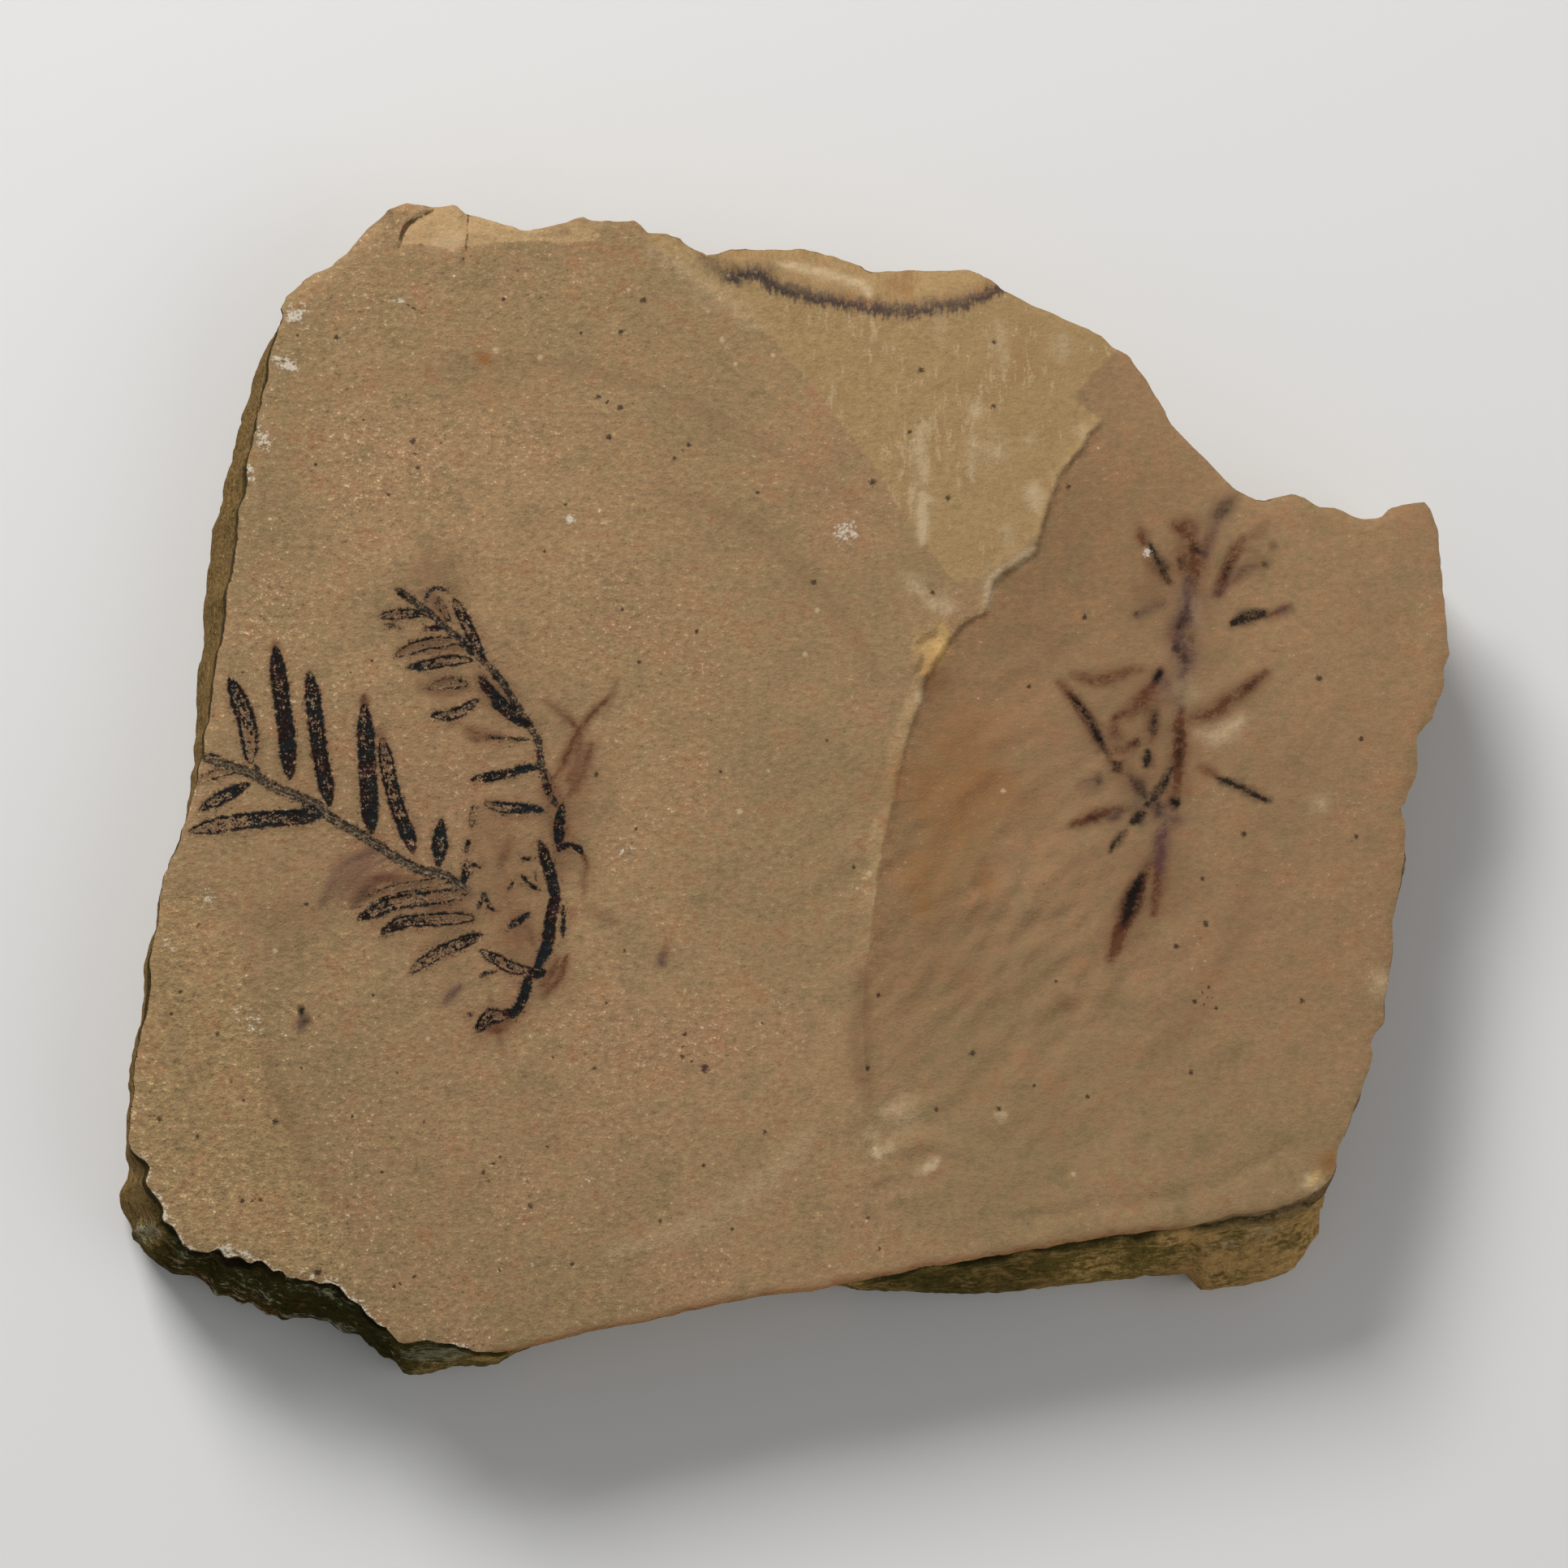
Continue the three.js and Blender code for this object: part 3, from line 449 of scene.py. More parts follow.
        ([(-33.4, -8.8), (-36.2, -8.7), (-37.8, -9.5), (-38.9, -10.9)], 0.8, 0.6),
        ([(-31.8, -10.8), (-28.5, -12.0)], 1.6, 0.5),
        ([(13.7, 11.3), (13.0, 8.0)], 1.6, 0.45),
        ([(25.0, -19.2), (25.3, -19.6)], 1.4, 0.3),
        ([(-33.0, 18.2), (-31.0, 18.6), (-29.8, 17.8)], 3.4, 0.3),
        ([(-21.0, 0.4), (-20.0, -8.0)], 1.8, 0.5),
        ([(-28.3, 4.1), (-27.2, 4.1)], 0.7, 0.75),
        ([(-20.9, 0.1), (-19.7, 2.2), (-18.6, 4.6), (-17.0, 6.6), (-15.6, 8.0)], 0.45, 0.8),
        ([(-18.3, 4.4), (-19.4, 5.8), (-21.5, 7.4)], 0.45, 0.6),
        ([(-17.2, 3.6), (-18.2, 1.2), (-19.4, -1.2)], 0.6, 0.65),
        ([(-18.6, 4.6), (-18.5, 2.0), (-19.6, 0.2)], 0.7, 0.5),
        ([(-16.2, 6.2), (-15.0, 9.4)], 0.5, 0.35),
        ([(-19.9, -3.0), (-19.2, -4.6)], 0.5, 0.5),
        ([(-19.5, -15.6), (-20.2, -17.4), (-21.6, -19.2)], 0.6, 0.7),
        ([(-18.0, -9.9), (-18.1, -8.4)], 0.4, 0.5),
        ([(-23.8, -12.4), (-22.4, -14.6)], 1.2, 0.4),
        ([(-24.6, -5.0), (-25.4, -7.2)], 0.7, 0.4),
        ([(-28.6, 4.8), (-27.4, 4.3), (-25.6, 4.2)], 0.7, 0.6),
        ([(-27.4, 9.6), (-25.0, 6.6)], 1.4, 0.6),
        ([(-18.2, -6.3), (-17.7, -7.5), (-18.0, -8.6)], 0.5, 0.6),
        ([(-17.9, -7.4), (-17.5, -8.3)], 1.9, 0.3),
        ([(-20.3, -15.8), (-21.0, -17.4), (-21.9, -18.4)], 0.5, 0.75),
        ([(-18.0, -10.8), (-16.6, -11.8), (-15.1, -12.7)], 0.5, 0.4),
        ([(-31.5, 16.8), (-30.4, 15.0)], 0.9, 0.6),
        ([(-34.7, 11.8), (-31.5, 12.3), (-29.4, 12.3)], 1.0, 0.5),
        ([(-32.4, 8.6), (-28.8, 8.8)], 1.5, 0.5),
        ([(-27.2, 8.4), (-25.6, 7.6), (-24.6, 6.6)], 1.6, 0.5),
        ([(-26.4, -1.6), (-22.6, -3.2)], 1.6, 0.3),
        ([(-42.0, -12.4), (-47.0, -12.0)], 3.4, 0.16),
        ([(-26.2, -21.6), (-25.4, -21.4)], 3.0, 0.65),
        ([(-23.6, -15.0), (-20.0, -17.4)], 3.6, 0.24),
        ([(-42.7, 9.0), (-42.8, 9.9)], 0.4, 0.8),
        ([(-37.8, 6.8), (-37.8, 7.8)], 0.6, 0.8),
        ([(-36.2, 3.6), (-36.4, 4.8)], 0.7, 0.5),
        ([(-45.8, 11.6), (-45.8, 12.5)], 0.7, 0.5),
        ([(-31.8, 20.4), (-31.8, 19.6)], 0.6, 0.3),
    ],
    "orange": [
        ([(15.8, 2.5), (15.4, -4.0)], 7.0, 0.5),
        ([(12.7, -10.4), (12.7, -11.4)], 1.5, 0.7),
        ([(18.0, -8.0), (18.0, -9.2)], 1.5, 0.6),
        ([(13.6, -5.0), (12.8, -10.5)], 3.4, 0.45),
        ([(-27.5, 39.0), (-26.7, 38.2)], 0.7, 1.1),
        ([(-26.8, 35.9), (-26.8, 35.2)], 3.0, 0.22),
        ([(48.9, -34.2), (49.1, -33.6)], 1.6, 0.8),
    ],
    "cream": [
        ([(12.4, 32.6), (12.3, 29.8), (12.6, 27.8)], 0.55, 0.9),
        ([(12.1, 27.8), (11.6, 25.6)], 0.45, 0.5),
        ([(12.6, 26.4), (12.5, 22.0)], 0.6, 0.95),
        ([(13.4, 26.4), (13.4, 25.4)], 0.5, 0.7),
        ([(22.7, 27.4), (22.8, 25.4)], 1.0, 0.9),
        ([(22.6, 31.8), (22.0, 31.6)], 0.8, 0.6),
        ([(17.6, 34.8), (17.4, 33.6)], 0.8, 0.7),
        ([(27.0, 33.0), (27.0, 32.0)], 0.9, 0.4),
        ([(17.2, 32.2), (17.0, 27.8)], 0.5, 0.6),
        ([(20.1, 24.0), (20.3, 21.6)], 0.7, 0.35),
        ([(25.4, 41.2), (25.2, 39.2)], 1.2, 0.4),
        ([(14.2, 43.0), (14.2, 40.6)], 0.6, 0.45),
        ([(19.6, 42.2), (19.8, 38.6)], 0.8, 0.4),
        ([(18.2, 31.0), (20.0, 30.4)], 1.6, 0.3),
        ([(11.2, 18.7), (12.6, 17.4)], 0.9, 0.5),
        ([(13.2, 16.6), (15.3, 16.0)], 0.9, 0.6),
        ([(20.0, 19.8), (18.8, 18.6), (18.4, 16.2)], 0.55, 0.75),
        ([(22.6, 21.4), (20.4, 19.9)], 0.6, 0.5),
        ([(12.1, 8.2), (12.3, 7.7)], 0.9, 0.7),
        ([(2.6, -31.4), (-1.7, -35.8), (-8.0, -39.9), (-15.4, -42.2)], 1.3, 0.22),
        ([(37.9, 4.6), (39.6, 4.9), (41.4, 5.9)], 1.4, 0.55),
        ([(36.6, 17.4), (37.5, 15.2)], 1.2, 0.35),
        ([(36.4, 9.4), (36.2, 8.0)], 1.6, 0.35),
        ([(47.7, -35.6), (47.2, -35.9)], 1.2, 0.9),
        ([(53.9, -17.0), (53.8, -19.0)], 1.2, 0.5),
        ([(48.4, -1.3), (48.7, -1.6)], 1.4, 0.4),
        ([(-12.0, 48.6), (-8.4, 46.6), (-5.7, 44.2), (-2.4, 41.7)], 1.4, 0.25),
        ([(-31.6, 49.1), (-29.2, 49.4)], 0.9, 0.5),
        ([(-0.4, 47.9), (2.5, 47.3), (5.2, 46.6), (7.3, 45.9)], 0.5, 1.0),
        ([(7.4, 46.0), (7.7, 44.9)], 0.6, 0.9),
        ([(12.2, -34.9), (13.0, -34.5), (13.9, -33.8)], 0.4, 1.0),
        ([(8.2, -33.3), (8.6, -33.1)], 0.6, 1.6),
        ([(8.6, -33.1), (10.0, -32.5)], 0.4, 0.8),
        ([(19.1, -29.8), (19.6, -29.8)], 0.5, 0.9),
        ([(9.6, -29.6), (11.2, -29.8)], 2.2, 0.4),
        ([(7.6, -31.8), (8.4, -31.4)], 1.0, 0.3),
    ],
    "gold": [
        ([(14.3, 14.3), (14.0, 12.8), (12.8, 10.4)], 1.1, 0.9),
        ([(13.6, 13.4), (12.4, 12.2)], 1.8, 0.5),
        ([(48.3, -35.0), (47.4, -35.8)], 0.7, 0.7),
    ],
    "chalk_and_highlight": [
        ([(5.0, 23.3), (6.3, 22.6)], 1.3, 1.0),
        ([(-44.9, 42.2), (-43.6, 42.9)], 1.3, 0.9),
        ([(-45.9, 38.3), (-44.2, 37.6)], 1.0, 0.9),
        ([(-47.5, 32.0), (-46.8, 30.4)], 1.3, 0.8),
        ([(-48.3, 28.6), (-48.0, 27.0)], 0.8, 0.8),
        ([(-49.2, 21.0), (-49.3, 19.6)], 0.6, 0.7),
        # painted highlight: the lit lower wall of a small pit, whose shaded upper wall is the dark
        # grain at (-19.7, 25.3)
        ([(-19.8, 24.1), (-19.2, 23.9)], 0.6, 1.2),
        ([(33.0, 21.6), (33.1, 21.0)], 0.5, 1.0),
        ([(-14.7, -6.4), (-13.6, -5.5)], 0.6, 0.7),
        ([(-18.6, -36.6), (-16.4, -35.1), (-13.9, -33.4)], 0.45, 0.5),
        ([(-52.0, -9.3), (-51.6, -10.6), (-52.1, -11.8)], 0.9, 0.55),
        ([(-48.8, -20.0), (-47.0, -22.4)], 1.6, 0.42),
        ([(-55.6, -14.0), (-54.6, -15.0)], 1.0, 0.5),
        ([(-50.4, -42.2), (-48.9, -42.2)], 0.8, 1.0),
        ([(-35.7, 44.2), (-34.5, 43.7)], 0.25, 1.0),
        ([(-48.6, -42.2), (-46.8, -42.7)], 0.8, 0.7),
        ([(-43.2, -44.2), (-41.8, -44.6)], 0.9, 0.7),
        ([(-40.2, -45.4), (-39.4, -46.2)], 0.6, 0.6),
        ([(-54.9, -39.9), (-53.4, -41.0)], 0.6, 0.7),
        ([(-0.6, -19.4), (-0.4, -19.7)], 0.7, 0.7),
        ([(-4.7, -21.1), (-4.5, -21.4)], 0.7, 0.5),
    ],
}

FAINT_FILMS = ("soot", "plum", "russet")
FILM_SPREAD = 0.88  # how far from its middle a faint film fades, in stroke widths
RUB_SPREAD = 0.9  # the same for all other strokes

WALL_LICHEN = [  # pale crusts on the walls, over the same plan
    ([(-58.2, -39.9), (-56.0, -40.4)], 1.1, 1.0),
    ([(-53.6, -44.6), (-50.0, -46.2), (-46.6, -47.4)], 0.8, 0.7),
    ([(-45.0, -47.6), (-41.0, -48.4), (-38.4, -48.9)], 0.7, 0.6),
    ([(-34.0, -51.2), (-31.0, -51.0), (-28.4, -51.2)], 0.9, 0.9),
    ([(38.4, -41.6), (42.0, -40.6), (45.0, -39.4)], 1.2, 0.5),
]

# ---- Grains: x, y, diameter ----

DARK_GRAINS_AND_PIT_SHADOW = [
    (-44.0, 40.6, 0.34), (-40.5, 40.4, 0.48), (-33.5, 31.0, 0.54), (-33.1, 28.5, 0.41),
    (-35.7, 26.1, 0.34), (-42.3, 28.8, 0.27), (-25.4, 44.1, 0.37), (-38.0, 32.9, 0.27),
    (-12.7, 44.0, 0.58), (-14.8, 41.1, 0.48), (-18.4, 41.0, 0.27), (-16.8, 35.2, 0.48),
    (-14.9, 34.1, 0.54), (-15.8, 31.5, 0.48), (-9.9, 29.6, 0.34), (-8.6, 30.8, 0.34),
    # the grain at (-19.7, 25.3) is painted shadow on the upper wall of a small pit
    (-19.7, 25.3, 0.34), (-2.4, 26.5, 0.34), (2.7, 18.4, 0.48), (12.5, 37.9, 0.54),
    (11.4, 32.1, 0.48), (8.0, 27.5, 0.61), (14.9, 26.1, 0.48), (19.1, 40.5, 0.41),
    (19.0, 34.6, 0.48), (25.8, 27.3, 0.48), (13.5, 17.5, 0.41), (-16.9, 0.8, 0.44),
    (-14.6, 15.8, 0.34), (-7.9, 13.8, 0.34), (-13.1, 11.0, 0.34), (3.9, 4.0, 0.34),
    (-5.7, 1.1, 0.27), (-13.3, -4.1, 0.27), (-21.6, 21.0, 0.27), (6.3, -7.5, 0.34),
    (27.3, 15.4, 0.48), (22.2, 9.0, 0.34), (48.5, 9.9, 0.58), (41.6, -4.3, 0.54),
    (38.1, -12.5, 0.48), (37.8, -8.4, 0.34), (35.4, -14.5, 0.48), (51.8, -4.5, 0.41),
    (46.7, -19.4, 0.48), (37.0, -19.5, 0.41), (52.3, 4.4, 0.41), (27.3, -28.1, 0.41),
    (7.5, -25.6, 0.41), (16.9, -24.2, 0.54), (19.3, -29.2, 0.54), (8.6, -41.7, 0.34),
    (-7.1, -25.7, 0.75), (-17.0, -25.6, 0.41), (-15.9, -19.8, 0.34), (-14.3, -15.1, 0.34),
    (-7.2, -34.3, 0.34), (-18.9, -43.2, 0.37), (-22.7, -38.0, 0.41), (-26.9, -35.0, 0.41),
    (-25.4, -43.7, 0.34), (-11.1, -39.3, 0.41), (-34.6, -26.1, 0.27), (-32.2, -30.5, 0.27),
    (-45.5, -30.5, 0.48), (-46.7, -37.5, 0.41), (-55.8, -30.3, 0.48), (-52.4, -31.8, 0.34),
    (-42.8, -11.0, 0.34), (-36.8, -19.2, 0.27), (-33.0, -44.3, 0.34), (-41.5, -43.9, 0.68),
    (-39.0, 9.9, 0.2), (-48.7, 9.9, 0.27), (-37.1, 11.0, 0.31), (-24.7, 3.3, 0.2),
    (-50.7, -22.7, 0.41), (-54.8, -20.9, 0.34), (-54.0, -18.9, 0.27), (-52.5, -12.9, 0.34),
    (-43.2, -25.7, 0.27), (-48.3, -28.6, 0.27), (-38.6, -30.0, 0.27), (-35.9, -35.0, 0.27),
    (-48.3, -37.6, 0.34), (-34.8, -45.2, 0.37), (-26.4, -35.8, 0.27), (-25.4, -33.6, 0.37),
    (-21.2, -32.7, 0.27), (-20.7, -24.7, 0.27), (-8.9, -22.6, 0.34), (-9.1, -24.6, 0.34),
    (-2.0, -21.6, 0.34), (-1.7, -31.4, 0.44), (-4.6, -40.0, 0.34), (8.5, -19.0, 0.37),
    (13.7, -29.3, 0.41), (22.5, -27.1, 0.31), (24.5, -17.7, 0.34), (7.5, -39.0, 0.37),
    (36.6, -25.9, 0.37), (38.9, -20.1, 0.31), (38.3, -18.2, 0.27)]
PALE_GRAINS = [
    (3.0, 15.8, 0.43), (1.9, 11.8, 0.46), (-5.6, 40.5, 0.5), (-4.4, 38.3, 0.37),
    (-1.0, 39.1, 0.37), (-6.9, 43.1, 0.31), (-14.1, 45.0, 0.37), (-22.1, 38.7, 0.5),
    (-26.1, 39.4, 0.56), (-4.0, -2.5, 0.5), (-1.4, 1.2, 0.31), (7.7, -8.1, 0.5),
    (6.6, -9.4, 0.25), (19.8, -0.5, 0.5), (-5.6, -41.9, 0.31), (4.1, -43.3, 0.31),
    (-22.5, -43.2, 0.31), (-31.9, -23.0, 0.37), (-45.6, -15.2, 0.43), (-24.0, -2.9, 0.28),
    (-30.8, 4.6, 0.22), (-42.9, 13.3, 0.2), (-40.3, 6.8, 0.31), (-33.1, 28.0, 0.22),
    (-38.9, 41.3, 0.31), (-33.6, 39.0, 0.28), (-21.7, 46.6, 0.25), (-46.9, -29.0, 0.31),
    (-36.3, -39.0, 0.31), (-29.4, -15.4, 0.2), (-49.8, -26.9, 0.31), (26.0, -35.0, 0.43)]

# ---- Shape helpers ----


def scattered(cells, seed):
    """A number from -1 to 1 for each whole-numbered cell, always the same one."""
    mixed = (cells * np.array([374761393, 668265263, 2147001325])[: cells.shape[1]]).sum(1)
    mixed = mixed + seed * 1013904223
    mixed = (mixed ^ (mixed >> 13)) * 1274126177
    mixed = mixed ^ (mixed >> 16)
    return (mixed & 0xFFFF) / 32767.5 - 1.0


def lumps(points, size, seed, octaves=1):
    """Smooth lumps from -1 to 1, about `size` across, each octave adding finer ones."""
    points = np.asarray(points, float).reshape(len(points), -1)
    total, strength, most = np.zeros(len(points)), 1.0, 0.0
    for octave in range(octaves):
        cell = np.floor(points / size).astype(np.int64)
        part = points / size - cell
        ease = part * part * part * (part * (part * 6 - 15) + 10)
        for corner in itertools.product((0, 1), repeat=points.shape[1]):
            weight = np.prod(np.where(corner, ease, 1 - ease), axis=1)
            total += strength * weight * scattered(cell + np.array(corner), seed + octave)
        most += strength
        strength *= 0.5
        size /= 2.1
    return total / most


def ramp(values, low, high):
    """0 at low, 1 at high, with a smooth rise between them."""
    share = np.clip((values - low) / (high - low), 0, 1)
    return share * share * (3 - 2 * share)


def curve_through(corners, step=0.5):
    """A smooth line through the corners."""
    corners = np.asarray(corners, float)
    if len(corners) < 3:
        return corners
    ends = np.vstack([2 * corners[0] - corners[1], corners, 2 * corners[-1] - corners[-2]])
    line = []
    for a, b, c, d in zip(ends, ends[1:], ends[2:], ends[3:]):
        count = max(1, round(np.linalg.norm(c - b) / step))
        for t in np.arange(count) / count:
            line.append(0.5 * (2 * b + (c - a) * t + (2 * a - 5 * b + 4 * c - d) * t**2
                               + (3 * b - a - 3 * c + d) * t**3))
    return np.array(line + [corners[-1]])


def beside(line, points):
    """For each point: its distance to a line, how far along the line it lies, and its signed
    distance, positive on the line's left. Also the line's length."""
    line = np.asarray(line, float)
    distance = np.full(len(points), np.inf)
    along = np.zeros(len(points))
    left = np.zeros(len(points))
    begun = 0.0
    for a, b in zip(line, line[1:]):
        length = np.linalg.norm(b - a)
        if length < 1e-9:
            continue
        unit = (b - a) / length
        gap = points - a
        run = np.clip(gap @ unit, 0, length)
        off = np.hypot(*(gap - run[:, None] * unit).T)
        closer = off < distance
        distance[closer] = off[closer]
        along[closer] = begun + run[closer]
        side = unit[0] * gap[:, 1] - unit[1] * gap[:, 0]
        left[closer] = (off * np.where(side < 0, -1, 1))[closer]
        begun += length
    return distance, along, left, begun


def inside(area, points):
    """Whether each point is inside an area's outline."""
    x, y = points.T
    odd = np.zeros(len(points), bool)
    corners = np.asarray(area, float)
    for (ax, ay), (bx, by) in zip(corners, np.roll(corners, -1, axis=0)):
        crosses = (ay > y) != (by > y)
        with np.errstate(divide="ignore", invalid="ignore"):
            odd ^= crosses & (x < (bx - ax) * (y - ay) / (by - ay) + ax)
    return odd


def near_line(line, points, reach):
    """Which points lie in the line's box, widened by reach."""
    line = np.asarray(line, float)
    low, high = line.min(0) - reach, line.max(0) + reach
    return ((points > low) & (points < high)).all(1)


def sown(low, high, step, seed):
    """Points spread evenly over a box in staggered rows, a little out of line."""
    xs = np.arange(low[0], high[0], step)
    ys = np.arange(low[1], high[1], step * math.sqrt(3) / 2)
    grid = np.stack(np.meshgrid(xs, ys), -1)
    grid[1::2, :, 0] += step / 2
    grid = grid.reshape(-1, 2)
    stir = np.random.default_rng(seed).uniform(-0.22, 0.22, grid.shape)
    return grid + stir * step


# ---- Carbon films as distances ----


def leaf_half_width(along, length, width):
    """Half a leaf's width: narrow at its base, even along its middle, round at its tip."""
    base = np.clip(along / 1.6, 0, 1) ** 0.6 * 0.75 + 0.25
    tip = np.sqrt(np.clip((length - along) / (1.5 * width), 0, 1))
    return width / 2 * base * tip


def film_marks(points):
    """For each point: distance outside the nearest film (negative on it), how deep inside from
    rim to midline, film left, hollowness, how grey and woody, and its place along and across."""
    count = len(points)
    marks = {
        "film": np.full(count, FILM_REACH), "depth": np.zeros(count), "left": np.zeros(count),
        "hollow": np.zeros(count), "stem": np.zeros(count), "along": np.zeros(count),
        "across": np.zeros(count)}

    def press(line, half_at, left_at, hollow_at, stem, number):
        near = np.flatnonzero(near_line(line, points, FILM_REACH))
        if not len(near):
            return
        distance, along, side, length = beside(line, points[near])
        half = half_at(along, length)
        film = distance - half
        wins = film < marks["film"][near]
        at, share = near[wins], (along / length)[wins]
        marks["film"][at] = film[wins]
        marks["depth"][at] = np.clip(-film[wins] / np.maximum(half[wins], 0.05), 0, 1)
        marks["left"][at] = left_at(share)
        marks["hollow"][at] = hollow_at(share)
        marks["stem"][at] = stem
        marks["along"][at] = along[wins] + 31 * number
        marks["across"][at] = side[wins]

    leaves = SPREAD_SHOOT_LEAVES + BENT_SHOOT_LEAVES
    for number, (path, width, left0, left1, hollow0, hollow1) in enumerate(leaves):
        press(curve_through(path),
              lambda along, length: leaf_half_width(along, length, width),
              lambda share: left0 + (left1 - left0) * share,
              lambda share: hollow0 + (hollow1 - hollow0) * share, 0.0, number)
    strands = GREY_STEMS + [(*strand, 0.0) for strand in DARK_STRANDS]
    for number, (path, width, left, stem) in enumerate(strands):
        press(curve_through(path),
              lambda along, length: width / 2 * np.clip(
                  np.minimum(along, length - along) / 0.6 + 0.35, 0, 1),
              lambda share: left, lambda share: 0.0, stem, number + len(leaves))
    return marks


def stain(strokes, points, spread):
    """How strongly soft strokes cover each point. A stroke thins to its ends, is streaked along
    its length and fades at `spread` widths from its middle."""
    strength = np.zeros(len(points))
    for number, (path, width, most) in enumerate(strokes):
        line = curve_through(path)
        near = np.flatnonzero(near_line(line, points, 2.2 * width))
        if not len(near):
            continue
        distance, along, side, length = beside(line, points[near])
        share = np.clip(along / length, 0.03, 0.97)
        body = 0.4 + 0.6 * np.sin(math.pi * share) ** 0.6
        fibre = lumps(np.column_stack([along * 0.4 + 40 * number, side * 2.4]), 1.0, 81, 2)
        here = most * (0.8 + 0.2 * body) * (1 + 0.45 * fibre)
        here = here * np.exp(-((distance / (spread * width * body)) ** 2))
        strength[near] = np.maximum(strength[near], here)
    return strength


def grain_offsets(grains, points, reach=1.3):
    """From the nearest grain to each point, in grain radii, and whether it is within reach."""
    offset = np.full((len(points), 2), 9.0)
    nearest = np.full(len(points), np.inf)
    for x, y, size in grains:
        gap = points - (x, y)
        distance = np.hypot(*gap.T)
        closer = distance < nearest
        nearest[closer] = distance[closer]
        offset[closer] = gap[closer] / (size / 2)
    return offset, (nearest < reach).astype(float)


# ---- The face ----


def into(area, points):
    """How far inside an area's outline each point is; negative outside."""
    distance = beside(area + area[:1], points)[0]
    return np.where(inside(area, points), distance, -distance)


def region_marks(points):
    """Where each point lies among the face's breaks, as signed distances in mm."""
    step = beside(STEP_LINE + FAINT_STEP, points)[0]
    right = inside(STEP_LINE + FAINT_STEP + LOWER_BED_CORNERS, points)
    facet = np.minimum(beside(FACET_LINE, points)[0], step)
    on_facet = inside(FACET_LINE + FACET_CORNERS, points) & ~right
    coarse = beside(COARSE_CREASE, points)[0]
    beyond = inside(COARSE_CREASE + COARSE_CORNERS, points)
    return {
        "bed": np.where(right, step, -step),
        "facet": np.where(on_facet, facet, -facet),
        "coarse": np.where(beyond, coarse, -coarse),
        "dark_bed": beside(curve_through(DARK_BED), points)[2],
        "chip": np.max([into(area, points) for area, _ in CHIPS], axis=0),
        "crack_and_shadow": -np.min([beside(line, points)[0] - width / 2 for line, width in CRACKS_AND_SHADOWS], axis=0),
    }


def stepped_down(points, regions):
    """How far the next bed, right of the step, and the tilted facet lie below the upper bed."""
    x, y = points.T
    bed = regions["bed"] + 0.14 * lumps(points, 1.3, 5, 2)
    worn = 0.5 + 1.6 * ramp(-y, -6, 20)  # the lip is crisp near the facet, worn further down
    drop = STEP_SLOPE * np.maximum(y - STEP_END, 0) + 0.06
    lower = drop * ramp(bed, -0.25 * worn, worn)
    hollow = 0.07 * np.exp(-(((bed - 2.0) / 3.0) ** 2)) * (bed > -1)
    hollow = hollow * ramp(drop, 0, 0.3) * ramp(-y, -24, -16)

    start, end = np.array(FACET_LINE[0]), np.array(FACET_LINE[-1])
    away = np.array([start[1] - end[1], end[0] - start[0]]) / np.linalg.norm(end - start)
    past = (points - start) @ away
    facet = FACET_DROP + FACET_SLOPE * np.maximum(past, 0)
    tilted = facet * ramp(past, -0.3, 0.6)
    on_facet = ramp(regions["facet"] + 0.25 * lumps(points, 2.2, 8, 2), -0.25, 0.6)
    facet = on_facet * (facet + 0.04 * lumps(points * (1, 0.4), 1.6, 9, 2))
    one_bed = ramp(y, 31.8, 34.5) * ramp(x, 12, 20)  # no step beyond the facet's corner
    return one_bed * tilted + (1 - one_bed) * np.maximum(lower + hollow, facet)


def broken_rim(points, regions):
    """How far the rim falls away beyond the dark bed and on the bevels at the upper left."""
    x, y = points.T
    beyond = regions["dark_bed"] + 0.25 * lumps(points, 1.1, 11, 2)
    near_bed = ramp(x, -9.5, -6.5) * ramp(-x, -22.5, -20.0) * ramp(y, 40, 42)
    drop = near_bed * DARK_BED_SLOPE * np.clip(beyond - 0.3, 0, 9)
    for start, end, depth0, depth1, slope in BEVELS:
        start, end = np.array(start), np.array(end)
        length = np.linalg.norm(end - start)
        unit = (end - start) / length
        along, out = (points - start) @ unit, (points - start) @ [-unit[1], unit[0]]
        share = np.clip(along / length, 0, 1)
        out = out + 0.25 * lumps(points, 1.6, 13, 2)
        held = ramp(along, -0.6, 0.4) * ramp(length - along, -1.0, 0.4) * (out > 0)
        drop += held * (depth0 + (depth1 - depth0) * share + slope * out)
    return drop


def traced(lines, points):
    """The rise of rounded lines over each point."""
    total = np.zeros(len(points))
    for line, rise, width in lines:
        near = near_line(line, points, 3 * width)
        distance = beside(line, points[near])[0]
        total[near] += rise * np.exp(-((distance / (0.5 * width)) ** 2))
    return total


def feathered(points):
    """Fine feathering, down to the left of the soft-stained shoot and round the leaves."""
    total = np.zeros(len(points))
    for (cx, cy), reach, way, size, rise, seed in FEATHERS:
        turn = np.array([[math.cos(way), math.sin(way)], [-math.sin(way), math.cos(way)]])
        local = (points - (cx, cy)) @ turn.T
        fade = np.exp(-((local[:, 0] / reach[0]) ** 2 + (local[:, 1] / reach[1]) ** 2))
        total += fade * rise * lumps(local * (0.34, 1.0), size, seed, 2)
    return total


